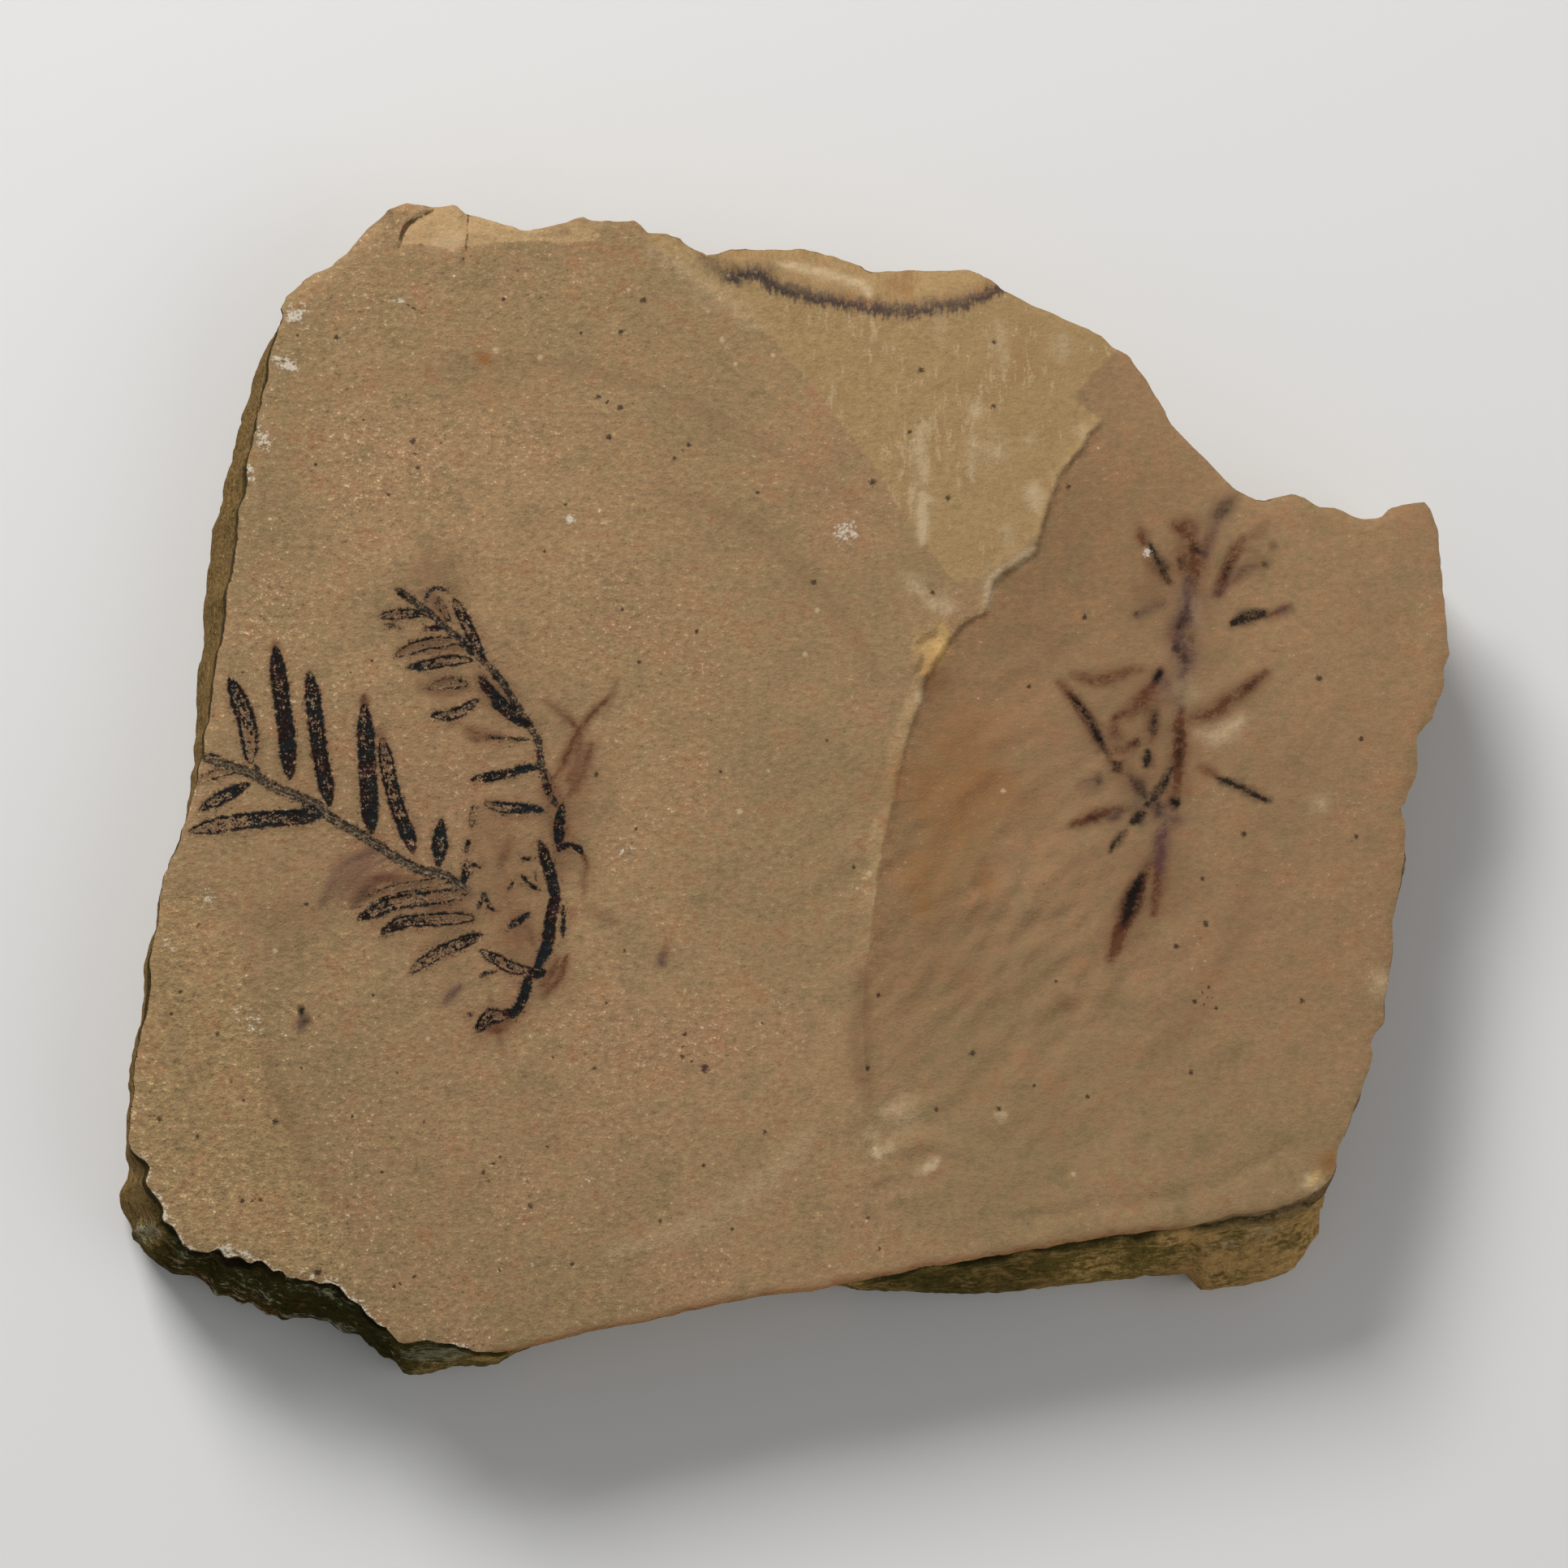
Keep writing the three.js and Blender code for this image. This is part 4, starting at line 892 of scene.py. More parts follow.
def face_heights(points, rim_gap, films, regions):
    """The height of the face over each point."""
    x = points[:, 0]
    wavy = 0.07 * lumps(points, 16, 1, 2) + 0.045 * lumps(points, 5.5, 2, 2)
    height = THICKNESS - 0.1 + wavy
    height -= stepped_down(points, regions) + broken_rim(points, regions)
    for area, depth in CHIPS:
        height -= depth * ramp(into(area, points), -0.06, 0.3)
    coarse = ramp(regions["coarse"] + 0.5 * lumps(points, 2.6, 16, 2), -0.4, 0.9)
    height -= coarse * (0.1 + 0.05 * lumps(points, 1.6, 17, 2))
    height -= 0.03 * ramp(-x, 20, 46) * (1 + lumps(points, 1.7, 18, 2))
    height += traced(RIDGES, points) - traced(GROOVES, points) + feathered(points)

    # The films lie in shallow prints with a faintly raised rim.
    height -= PRINT_DEPTH * ramp(-films["film"], -0.1, 0.45)
    height += PRINT_RIM * np.exp(-((films["film"] / 0.22) ** 2))

    # Fine relief, a little stronger on the left.
    height += 0.026 * lumps(points, 0.9, 21, 2)
    height += 0.06 * lumps(points * (0.8, 1.1), 2.3, 22, 2) * (1 + 0.5 * ramp(-x, -10, 40))

    # The rim is worn and crumbled.
    crumble = 0.5 + 0.5 * lumps(points, 1.4, 23, 2)
    height -= (0.06 + 0.22 * crumble) * np.exp(-rim_gap / 0.25)
    return np.minimum(height, THICKNESS)


# ---- The slab's mesh ----


def closed(ring):
    """A ring of points with its first one again at the end."""
    return np.vstack([ring, ring[:1]])


def round_averaged(values, spread):
    """A closed run of values, each averaged with its neighbours."""
    offsets = np.arange(-3 * spread, 3 * spread + 1)
    weights = np.exp(-((offsets / spread) ** 2))
    total = sum(w * np.roll(values, -k, axis=0) for k, w in zip(offsets, weights))
    return total / weights.sum()


def outward(ring, spread):
    """The way out from a closed anticlockwise ring, at each of its points."""
    calm = round_averaged(ring, spread)
    way = np.roll(calm, -1, axis=0) - np.roll(calm, 1, axis=0)
    way = np.stack([way[:, 1], -way[:, 0]], 1)
    return way / np.linalg.norm(way, axis=1)[:, None]


class Rim:
    """The face's edge, anticlockwise at even steps, and what the wall under each point is like."""

    def __init__(self):
        rows = []
        for stretch in EDGE:
            for point in stretch["points"]:
                x, y, run_x, run_y = (point + [0, 0])[:4]
                rows.append([x, y, run_x, run_y, *stretch["traits"], *WALLS[stretch["wall"]]])
        corners = closed(np.array(rows[::-1]))
        hops = np.linalg.norm(np.diff(corners[:, :2], axis=0), axis=1)
        reached = np.concatenate([[0], np.cumsum(hops)])
        self.count = round(reached[-1] / EDGE_STEP)
        places = np.linspace(0, reached[-1], self.count, endpoint=False)
        rows = np.stack([np.interp(places, reached, column) for column in corners.T], 1)
        rows[:, 4:6] = round_averaged(rows[:, 4:6], 6)
        self.run = rows[:, 2:4]
        self.weather, self.moss, self.rough, self.tuck, self.rust, self.crumbs = rows[:, 4:10].T
        self.shares = rows[:, 10:]
        self.places = places[:, None]  # how far round the rim each point lies
        self.crumble(rows[:, :2])

    def crumble(self, line):
        """Breaks the line into the whole edge, jagged, and the edge with small bites out of it."""
        self.out = outward(line, 6)
        jag = 0.1 * lumps(self.places, 2.3, 41, 3) * (0.4 + self.rough)
        jag = jag + 0.6 * lumps(self.places, 1.5, 42, 2) * (0.08 + 0.8 * self.crumbs)
        bites = 0.8 * ramp(lumps(self.places, 2.3, 45, 2), 0.0, 0.6)
        bites = bites * ramp(self.crumbs, 0.6, 1.2)
        self.whole = line + self.out * jag[:, None]
        self.edge = self.whole - self.out * round_averaged(bites, 2)[:, None]

    def distance(self, points):
        """How far each point lies from the edge."""
        return beside(closed(self.edge), points)[0]


def face_points(rim):
    """Points on the face, its edge first: dense on the films, finer along breaks and stains."""
    low, high = rim.edge.min(0), rim.edge.max(0)
    sets = [rim.edge]
    for step, seed in ((FILM_STEP, 51), (FINE_STEP, 52), (FACE_STEP, 53)):
        points = sown(low, high, step, seed)
        points = points[inside(rim.edge, points)]
        films, regions = film_marks(points), region_marks(points)
        faint = sum(stain(STAINS[name], points, FILM_SPREAD) for name in FAINT_FILMS)
        dense = films["film"] < 0.32
        fine = (np.abs(regions["bed"]) < 0.8) | (np.abs(regions["facet"]) < 0.6)
        fine |= (np.abs(regions["dark_bed"]) < 1.2) & (points[:, 1] > 42)
        fine |= (np.abs(regions["chip"]) < 0.6) | (regions["crack_and_shadow"] > -0.4)
        fine |= (faint > 0.22) | (films["film"] < 0.8)
        fine &= ~dense
        wanted = {FILM_STEP: dense, FINE_STEP: fine, FACE_STEP: ~(dense | fine)}[step]
        points = points[wanted]
        sets.append(points[rim.distance(points) > 0.55 * step])
    return np.vstack(sets)


def bed_offsets(places, heights, seed):
    """How far each bed stands out of the wall: even within a bed, changing along the wall."""
    dip = heights + 0.35 * lumps(places, 19, seed)
    offset = np.zeros(len(places))
    for number, (low, high) in enumerate(zip(BED_JOINTS, BED_JOINTS[1:])):
        along = places + 57.3 * number
        stand = 0.7 * lumps(along, 7.5, seed + 1) + 0.3 * lumps(along, 1.9, seed + 2)
        within = ramp(dip, low - 0.12, low + 0.12) * (1 - ramp(dip, high - 0.12, high + 0.12))
        round_over = 1 - np.abs((dip - (low + high) / 2) / (high - low)) ** 2
        offset += within * (stand + 0.25 * round_over)
    return offset


def wall_levels(rim, top):
    """The walls, level by level from just below the edge to the foot: their points and heights."""
    levels, heights = [], []
    step_foot_shade = 0.25 * (0.5 + 0.5 * lumps(rim.places, 6, 43, 2))
    gully = 0.75 + 0.6 * lumps(rim.places, 4.5, 66, 2)
    calm = round_averaged(rim.whole, 8)
    for drop in (np.linspace(0, 1, WALL_LEVELS) ** 1.15)[1:]:
        z = top * (1 - drop) + step_foot_shade * drop
        depth = top - z
        share = np.array([np.interp(-height, [-h for h in RING_HEIGHTS], row)
                          for height, row in zip(z, rim.shares)])

        # The bites heal a little way down, and a tucked foot runs calmer than the rim.
        healed = ramp(depth, 0.2, 1.8)[:, None]
        settle = (rim.tuck * ramp(depth, 0.4, 6))[:, None]
        base = rim.edge * (1 - healed) + rim.whole * healed
        base = base * (1 - settle) + calm * settle

        # The beds stand out and back, rough where they broke, with a gully under a mossy rim.
        spot = np.column_stack([base, z * 1.6])
        stand = bed_offsets(rim.places, z, 61) * 0.34
        stand = stand + 0.42 * lumps(spot, 4.2, 64, 3) + 0.16 * lumps(spot, 1.2, 65, 2)
        stand = stand * (0.25 + 0.75 * rim.rough) - 0.75 * rim.tuck * ramp(depth, 0.2, 3)
        recess = gully * np.exp(-(((depth - 1.0) / 0.9) ** 2)) * ramp(rim.moss, 0.1, 0.6)
        foot_wear = 0.9 * np.exp(-z / 0.6)
        reach = ramp(depth, 0, 0.9) * (stand - recess) - foot_wear
        place = base + rim.run * share[:, None] + rim.out * reach[:, None]
        place = place + settle * 0.8 * (round_averaged(place, 3) - place)
        levels.append(place)
        heights.append(z)
    return levels, heights


def underside_points(foot_ring):
    """The underside's points and heights: one bedding plane, with shallow scars where thin
    flakes came away."""
    points = sown(foot_ring.min(0), foot_ring.max(0), UNDERSIDE_STEP, 54)
    points = points[inside(foot_ring, points)]
    gap = beside(closed(foot_ring), points)[0]
    points, gap = points[gap > 0.7], gap[gap > 0.7]
    scars = 0.3 * ramp(lumps(points, 24, 71, 2), 0.05, 0.12)
    scars = scars + 0.22 * ramp(lumps(points, 10, 72, 2), 0.25, 0.34)
    z = scars + 0.05 * (1 + lumps(points, 3, 73, 2)) * (scars > 0)
    z = z + 0.3 * np.exp(-gap / 1.2)
    z = z - min(0.0, z.min())
    z[np.argsort(z)[: max(12, len(z) // 12)]] = 0.0  # what the slab rests on
    return points, z


def filled(plan, ring, extra, facing):
    """Triangles that fill a ring of vertices through the extra ones inside it."""
    order = np.concatenate([ring, extra])
    corners = [Vector(point) for point in plan[order].tolist()]
    found = delaunay_2d_cdt(corners, [], [list(range(len(ring)))], 1, 1e-7)
    old = [sources[0] for sources in found[3]]
    return [[int(order[old[i]]) for i in corner][::facing] for corner in found[2]]


def finish_marks(rim, rim_gap, films, regions, plan, heights, rings):
    """What the finish has to know at every vertex: on the face, down the walls and underneath."""
    face = plan[: len(rim_gap)]
    underside = slice(rings[-1][-1] + 1, None)
    depths = [heights[rings[0]] - heights[ring] for ring in rings[1:]]

    def on_face(values, elsewhere):
        """Values on the face, and one value everywhere else."""
        full = np.full((len(plan), *np.shape(values)[1:]), float(elsewhere))
        full[: len(face)] = values
        return full

    marks = {name: on_face(values, FILM_REACH if name == "film" else 0)
             for name, values in films.items()}
    marks |= {name: on_face(values, -9) for name, values in regions.items()}
    for name, strokes in STAINS.items():
        cover = stain(strokes, face, FILM_SPREAD if name in FAINT_FILMS else RUB_SPREAD)
        marks[name] = on_face(cover, 0)
    marks["lichen"] = stain(WALL_LICHEN, plan, RUB_SPREAD)
    marks["lichen"][underside] = 0
    for name, grains in (("dark_grain_and_pit_shadow", DARK_GRAINS_AND_PIT_SHADOW), ("pale_grain", PALE_GRAINS)):
        offset, near = grain_offsets(grains, face)
        marks[name] = on_face(np.column_stack([offset, near]), 9)

    marks["below_rim"] = on_face(-rim_gap, DEEP_BELOW)
    for ring, depth in zip(rings[1:], depths):
        marks["below_rim"][ring] = np.maximum(depth, 0.02)
    for name, values, underneath in (("weather", rim.weather, 0.5), ("moss", rim.moss, 0.0)):
        marks[name] = on_face(np.zeros(len(face)), underneath)
        for ring in rings:
            marks[name][ring] = values
    _, along, _, length = beside(closed(rim.edge), face)
    nearest = along / length * rim.count
    for name, values, reach in (("rust", rim.rust, 0.5), ("crumbs", 0.75 * rim.crumbs, 0.6)):
        here = np.interp(nearest, np.arange(rim.count + 1), np.append(values, values[0]))
        marks[name] = on_face(here * np.exp(-rim_gap / reach), 0)
        for ring, depth in zip(rings[1:], depths):
            marks[name][ring] = values * np.exp(-depth / reach)

    solid = np.column_stack([plan, heights])
    marks["broad"] = lumps(solid, 26, 91, 2)
    marks["drift"] = lumps(solid, 7.5, 92, 3)
    marks["patches"] = lumps(solid, 2.7, 94, 2)
    return marks


def slab_mesh():
    """The vertices in mm, the faces as index lists, their kinds, marks for the finish, and the
    rings of vertices from the edge down to the foot."""
    rim = Rim()
    face = face_points(rim)
    rim_gap = rim.distance(face)
    rim_gap[: rim.count] = 0
    films, regions = film_marks(face), region_marks(face)
    face_z = face_heights(face, rim_gap, films, regions)
    levels, level_z = wall_levels(rim, face_z[: rim.count])
    below, below_z = underside_points(levels[-1])
    plan = np.vstack([face, *levels, below])
    heights = np.concatenate([face_z, *level_z, below_z])

    starts = [0] + [len(face) + k * rim.count for k in range(len(levels))]
    rings = [np.arange(start, start + rim.count) for start in starts]
    faces = filled(plan, rings[0], np.arange(rim.count, len(face)), 1)
    kinds = ["face"] * len(faces)
    for upper, lower in zip(rings, rings[1:]):
        for a, b, c, d in zip(upper, lower, np.roll(lower, -1), np.roll(upper, -1)):
            faces.append([int(a), int(b), int(c), int(d)])
            kinds.append("wall")
    under = filled(plan, rings[-1], np.arange(rings[-1][-1] + 1, len(plan)), -1)
    faces += under
    kinds += ["underside"] * len(under)
    marks = finish_marks(rim, rim_gap, films, regions, plan, heights, rings)
    return plan, heights, faces, kinds, marks, rings


def bake_places(plan, faces, kinds, rings):
    """A flat layout of the slab for its colour map: the face large, the walls in three strips,
    the underside small."""
    count, levels = len(rings[0]), len(rings)
    low = plan.min(0)
    span = np.ptp(plan, axis=0).max()
    ring_of = np.full(len(plan), -1)
    at = np.zeros(len(plan), int)
    for level, ring in enumerate(rings):
        ring_of[ring] = level
        at[ring] = np.arange(count)
    third = math.ceil(count / 3)
    places = []
    for corners, kind in zip(faces, kinds):
        if kind == "face":
            spots = (plan[corners] - low) / span * FACE_SPAN + (LAYOUT_MARGIN, LAYOUT_MARGIN)
        elif kind == "underside":
            spots = (plan[corners] - low) / span * UNDERSIDE_SPAN + UNDERSIDE_CORNER
        else:
            start = min(at[corners])
            if max(at[corners]) - start > 1:
                start = count - 1
            strip = start // third
            spots = []
            for corner in corners:
                place = at[corner] if at[corner] or start != count - 1 else count
                u = LAYOUT_MARGIN + STRIP_LENGTH * (place - strip * third) / third
                up = STRIP_WIDTH * (1 - ring_of[corner] / (levels - 1))
                spots.append((u, STRIPS_FROM + STRIP_SPACING * strip + up))
        places.extend(np.asarray(spots).tolist())
    return np.array(places)


def slab_piece():
    """The slab as a mesh object, with its marks and its flat layout."""
    plan, heights, faces, kinds, marks, rings = slab_mesh()
    spots = np.column_stack([(plan - MIDDLE), heights]) / 1000
    mesh = bpy.data.meshes.new("fossil_plate")
    mesh.from_pydata(spots.tolist(), [], faces)
    for name, values in marks.items():
        if values.ndim == 1:
            layer = mesh.attributes.new(name, "FLOAT", "POINT")
            layer.data.foreach_set("value", values.astype(np.float32))
        else:
            layer = mesh.attributes.new(name, "FLOAT_VECTOR", "POINT")
            layer.data.foreach_set("vector", values.astype(np.float32).ravel())
    layout = mesh.uv_layers.new(name="OFBake")
    corner_places = bake_places(plan, faces, kinds, rings)
    layout.data.foreach_set("uv", corner_places.astype(np.float32).ravel())
    mesh.validate()
    mesh.update()
    for polygon in mesh.polygons:
        polygon.use_smooth = True
    for edge in mesh.edges:
        edge.use_edge_sharp = max(edge.vertices) < len(rings[0])  # the rim
    piece = bpy.data.objects.new("fossil_plate", mesh)
    bpy.context.collection.objects.link(piece)
    return piece


# ---- Finishes ----


def tint(red, moss_and_shade, blue):
    """A colour given as it looks on a screen, 0 to 255, as light."""
    def light(value):
        value /= 255
        return value / 12.92 if value <= 0.04045 else ((value + 0.055) / 1.055) ** 2.4
    return (light(red), light(moss_and_shade), light(blue), 1.0)


class Value:
    """A socket that takes part in sums."""

    def __init__(self, finish, socket):
        self.finish = finish
        self.socket = socket

    def sum_with(self, operation, *others, clamp=False):
        inputs = dict(enumerate([self, *others]))
        settings = {"operation": operation, "use_clamp": clamp}
        return self.finish.node("ShaderNodeMath", settings, inputs)

    def __add__(self, other):
        return self.sum_with("ADD", other)

    def __sub__(self, other):
        return self.sum_with("SUBTRACT", other)

    def __rsub__(self, other):
        inputs = {0: other, 1: self}
        return self.finish.node("ShaderNodeMath", {"operation": "SUBTRACT"}, inputs)

    def __mul__(self, other):
        return self.sum_with("MULTIPLY", other)

    __radd__ = __add__
    __rmul__ = __mul__

    def clamped(self):
        return self.sum_with("ADD", 0.0, clamp=True)

    def least(self, other):
        return self.sum_with("MINIMUM", other)

    def most(self, other):
        return self.sum_with("MAXIMUM", other)

    def rise(self, low, high):
        """0 below low and 1 above high, smooth between them."""
        if low > high:
            return 1 - self.rise(high, low)
        return self.finish.node(
            "ShaderNodeMapRange", {"interpolation_type": "SMOOTHSTEP"},
            {"Value": self, "From Min": low, "From Max": high})


class Finish:
    """A material, built up node by node."""

    def __init__(self, name):
        self.material = bpy.data.materials.new(name)
        self.material.use_nodes = True
        self.tree = self.material.node_tree
        self.shader = self.tree.nodes["Principled BSDF"]

    def node(self, kind, settings=None, inputs=None, output=0):
        """Adds a node: its settings first, then the values or links of its sockets."""
        node = self.tree.nodes.new(kind)
        for name, value in (settings or {}).items():
            setattr(node, name, value)
        for name, value in (inputs or {}).items():
            self.feed(self.find(node.inputs, name), value)
        return Value(self, self.find(node.outputs, output))

    def find(self, sockets, name):
        if isinstance(name, int):
            return sockets[name]
        return next(s for s in sockets if name in (s.identifier, s.name) and s.enabled)

    def feed(self, socket, value):
        if isinstance(value, Value):
            self.tree.links.new(value.socket, socket)
        else:
            socket.default_value = value

    def mark(self, name, output="Fac"):
        return self.node("ShaderNodeAttribute", {"attribute_name": name}, None, output)

    def places(self):
        """Where a point lies on the slab, in mm."""
        coordinates = self.node("ShaderNodeTexCoord", None, None, "Object")
        return self.stretched(coordinates, (1000, 1000, 1000))

    def stretched(self, vector, factors):
        return self.node("ShaderNodeVectorMath", {"operation": "MULTIPLY"},
                         {0: vector, 1: factors})

    def shifted(self, vector, offset):
        return self.node("ShaderNodeVectorMath", {"operation": "ADD"}, {0: vector, 1: offset})

    def length(self, vector):
        return self.node("ShaderNodeVectorMath", {"operation": "LENGTH"}, {0: vector}, "Value")

    def parts(self, vector):
        return [self.node("ShaderNodeSeparateXYZ", None, {0: vector}, i) for i in range(3)]

    def joined(self, x, y, z):
        return self.node("ShaderNodeCombineXYZ", None, {0: x, 1: y, 2: z})

    def noise(self, vector, scale, detail=2.0, roughness=0.5, flat=False):
        """Cloudy noise about 0, mostly from -0.5 to 0.5."""
        cloud = self.node("ShaderNodeTexNoise", {"noise_dimensions": "2D" if flat else "3D"},
                          {"Vector": vector, "Scale": scale, "Detail": detail,
                           "Roughness": roughness})
        return (cloud - 0.5) * 3.2

    def mix(self, factor, first, second):
        """Blends from the first colour to the second."""
        return self.node("ShaderNodeMix", {"data_type": "RGBA"},
                         {"Factor_Float": factor, "A_Color": first, "B_Color": second},
                         "Result_Color")

    def dimmed(self, colour, factor):
        return self.node("ShaderNodeVectorMath", {"operation": "SCALE"},
                         {0: colour, "Scale": factor})

    def set(self, **sockets):
        for name, value in sockets.items():
            self.feed(self.find(self.shader.inputs, name.replace("_", " ")), value)

    def bumped(self, height):
        """Raises the surface by a height in mm, for the light only."""
        normal = self.node("ShaderNodeBump", None,
                           {"Strength": 1.0, "Distance": 0.001, "Height": height})
        self.feed(self.shader.inputs["Normal"], normal)


# Stone and film colours, as they look in even light, apart from those that carry painted shade or
# light.
TAN = tint(163, 132, 96)
OLIVE_TAN = tint(150, 124, 89)
ROSY_TAN = tint(156, 121, 90)
BED_TAN = tint(147, 116, 84)
# painted shade at the foot of the step, also the colour of dark clots
SHADE_AND_CLOT_BROWN = tint(130, 98, 66)
WARM_MOTTLE = tint(150, 110, 78)
GREEN_MOTTLE = tint(141, 123, 86)
PALE_FLECK = tint(198, 174, 132)
DARK_FLECK = tint(88, 66, 48)
DARK_SEED = tint(40, 30, 28)
OCHRE = tint(163, 134, 93)
PALE_OCHRE = tint(190, 165, 126)
RUST_OCHRE = tint(146, 108, 70)
FRESH_TAN = tint(178, 147, 106)
CREAM = tint(196, 172, 136)
CHALK = tint(218, 209, 190)
CHIP_GOLD = tint(216, 174, 106)
CARBON = tint(15, 13, 14)
CARBON_BLUE = tint(15, 27, 31)
CARBON_PLUM = tint(50, 26, 30)
FLAKE_GREY = tint(146, 136, 116)
STEM_GREY = tint(110, 98, 77)
STEM_BROWN = tint(54, 44, 36)
LEAF_BROWN = tint(112, 84, 60)
RUSSET = tint(88, 50, 34)
PLUM = tint(90, 65, 61)
SOOT = tint(26, 24, 22)
ORANGE = tint(142, 88, 38)
PURPLE_BED = tint(80, 64, 60)
BLUE_BED = tint(54, 49, 50)
JOINT_BROWN = tint(80, 62, 38)
JOINT_OLIVE = tint(64, 54, 28)
# painted shade for the band under the rim: near black under the mossiest rims, dark olive elsewhere
CREVICE_SHADOW_BLACK = tint(16, 13, 7)
UNDERCUT_SHADE_OLIVE = tint(44, 42, 15)
# the mossy walls' dark olive, darkened further as painted shade
MOSS_AND_SHADE_OLIVE = tint(52, 50, 18)
# painted light: the shelf's tan, made light enough that the upward-facing shelf looks lit
LIT_SHELF_TAN = tint(184, 146, 90)
SHELF_OLIVE = tint(124, 106, 52)
# dark cracks, and painted shadow where a flake's edge steps down
CRACK_AND_SHADOW_BROWN = tint(64, 47, 30)
BROKEN_TAN = tint(136, 110, 78)
IRON = tint(120, 76, 42)
LICHEN_GREY = tint(150, 148, 122)

# A stain's look: strengths at which it begins and is full, how dense it gets, and its colour.
STAIN_LOOKS = [
    ("haze_and_groove_shade", 0.0, 1.0, 1.0, RUSSET),
    ("orange", 0.0, 1.0, 0.7, ORANGE),
    ("cream", 0.0, 0.85, 0.78, CREAM),
    ("gold", 0.05, 1.0, 0.8, CHIP_GOLD),
    ("russet", 0.0, 0.85, 0.9, RUSSET),
    ("plum", 0.0, 0.85, 0.85, PLUM),
    ("soot", 0.0, 0.9, 0.94, SOOT),
]


def stone_colour(finish, at, grain, dust):
    """The face's stone: tan siltstone with soft clouds, mottles, fine grain, painted shade and
    light.
    """
    broad, drift, patches = [finish.mark(name) for name in ("broad", "drift", "patches")]
    tone = finish.mix(broad.rise(-0.6, 0.6), OLIVE_TAN, TAN)
    tone = finish.mix(drift.rise(0.0, 0.8) * 0.7, tone, ROSY_TAN)
    bed = finish.mark("bed")
    x, y, _ = finish.parts(at)
    tone = finish.mix(bed.rise(-0.1, 0.3) * y.rise(-34, -14) * 0.8, tone, BED_TAN)
    # painted shade on the lower bed along the foot of the step
    step_foot_shade = bed.rise(-0.05, 0.2) * bed.rise(17.0, 0.5) * y.rise(-32, -10) * y.rise(34, 26)
    tone = finish.mix(step_foot_shade * 0.4, tone, SHADE_AND_CLOT_BROWN)
    crumbly = bed.rise(0.3, 3.0) * bed.rise(27, 15) * y.rise(-40, -31) * y.rise(15, 6)
    clots = 0.7 * patches + grain + 0.3 * dust
    tone = finish.mix(clots.rise(0.1, 1.0) * crumbly * 0.55, tone, SHADE_AND_CLOT_BROWN)
    tone = finish.mix(clots.rise(-0.2, -1.1) * crumbly * 0.4, tone, FRESH_TAN)
    # a paler band along the upper side of the step's lip: partly painted highlight on its lit edge,
    # partly paler worn stone
    lit_worn_lip = bed.rise(-1.5, -0.8) * bed.rise(0.15, -0.1) * y.rise(-16, -6) * y.rise(11, 8)
    tone = finish.mix(lit_worn_lip * (0.5 + 0.5 * drift), tone, FRESH_TAN)
    coarse = finish.mark("coarse").rise(-0.9, 1.1)
    tone = finish.mix(coarse * 0.4, tone, OCHRE)
    mottle = finish.noise(finish.shifted(at, (9, 2, 5)), 0.75, 3, 0.62) + 0.5 * patches
    tone = finish.mix(mottle.rise(0.0, 0.9) * 0.7, tone, WARM_MOTTLE)
    tone = finish.mix(mottle.rise(0.0, -0.9) * 0.5, tone, GREEN_MOTTLE)
    fleck = dust + 0.9 * grain
    often = 0.35 * drift + 0.3 * x.rise(30, -30) + 0.12 * x.rise(-28, -46) - 0.13
    tone = finish.mix((fleck + often).rise(0.75, 1.15) * 0.6, tone, PALE_FLECK)
    tone = finish.mix((fleck + often).rise(1.25, 1.45) * 0.75, tone, CHALK)
    tone = finish.mix((fleck - often).rise(-0.95, -1.3) * 0.55, tone, DARK_FLECK)
    # painted light: the face brighter towards the upper right and the top, darker towards the
    # bottom, and a little brighter on the coarse stone
    painted_light = 0.09 * x.rise(24, 44) * y.rise(-2, 14) + 0.04 * y.rise(14, 40) - 0.03 * y.rise(-18, -34)
    painted_light = painted_light + 0.045 * coarse
    tone = finish.dimmed(tone, 1 + painted_light + 0.08 * drift + 0.08 * mottle + 0.04 * patches)
    return tone, coarse


def facet_colour(finish, tone, streaks, grain, dust):
    """The worn ochre facet, with pale flecks drawn out down the slab, and the fresh chips."""
    drift, patches = finish.mark("drift"), finish.mark("patches")
    facet = finish.mark("facet")
    on_facet = (facet + 0.25 * streaks + 0.12 * patches).rise(-0.22, 0.22)
    ochre = finish.mix((patches + grain).rise(0.1, 1.0) * 0.5, OCHRE, RUST_OCHRE)
    pale = streaks + 0.6 * drift + 0.5 * patches + 0.35 * dust + 0.02 * facet.least(7)
    ochre = finish.mix(pale.rise(0.25, 0.95) * 0.6, ochre, PALE_OCHRE)
    tone = finish.mix(on_facet, tone, ochre)
    chip = (finish.mark("chip") + 0.12 * dust).rise(-0.06, 0.06)
    fresh = finish.mix((patches + 1.2 * grain).rise(0.1, 1.1) * 0.5, FRESH_TAN, RUST_OCHRE)
    return finish.mix(chip * 0.85, tone, fresh), on_facet


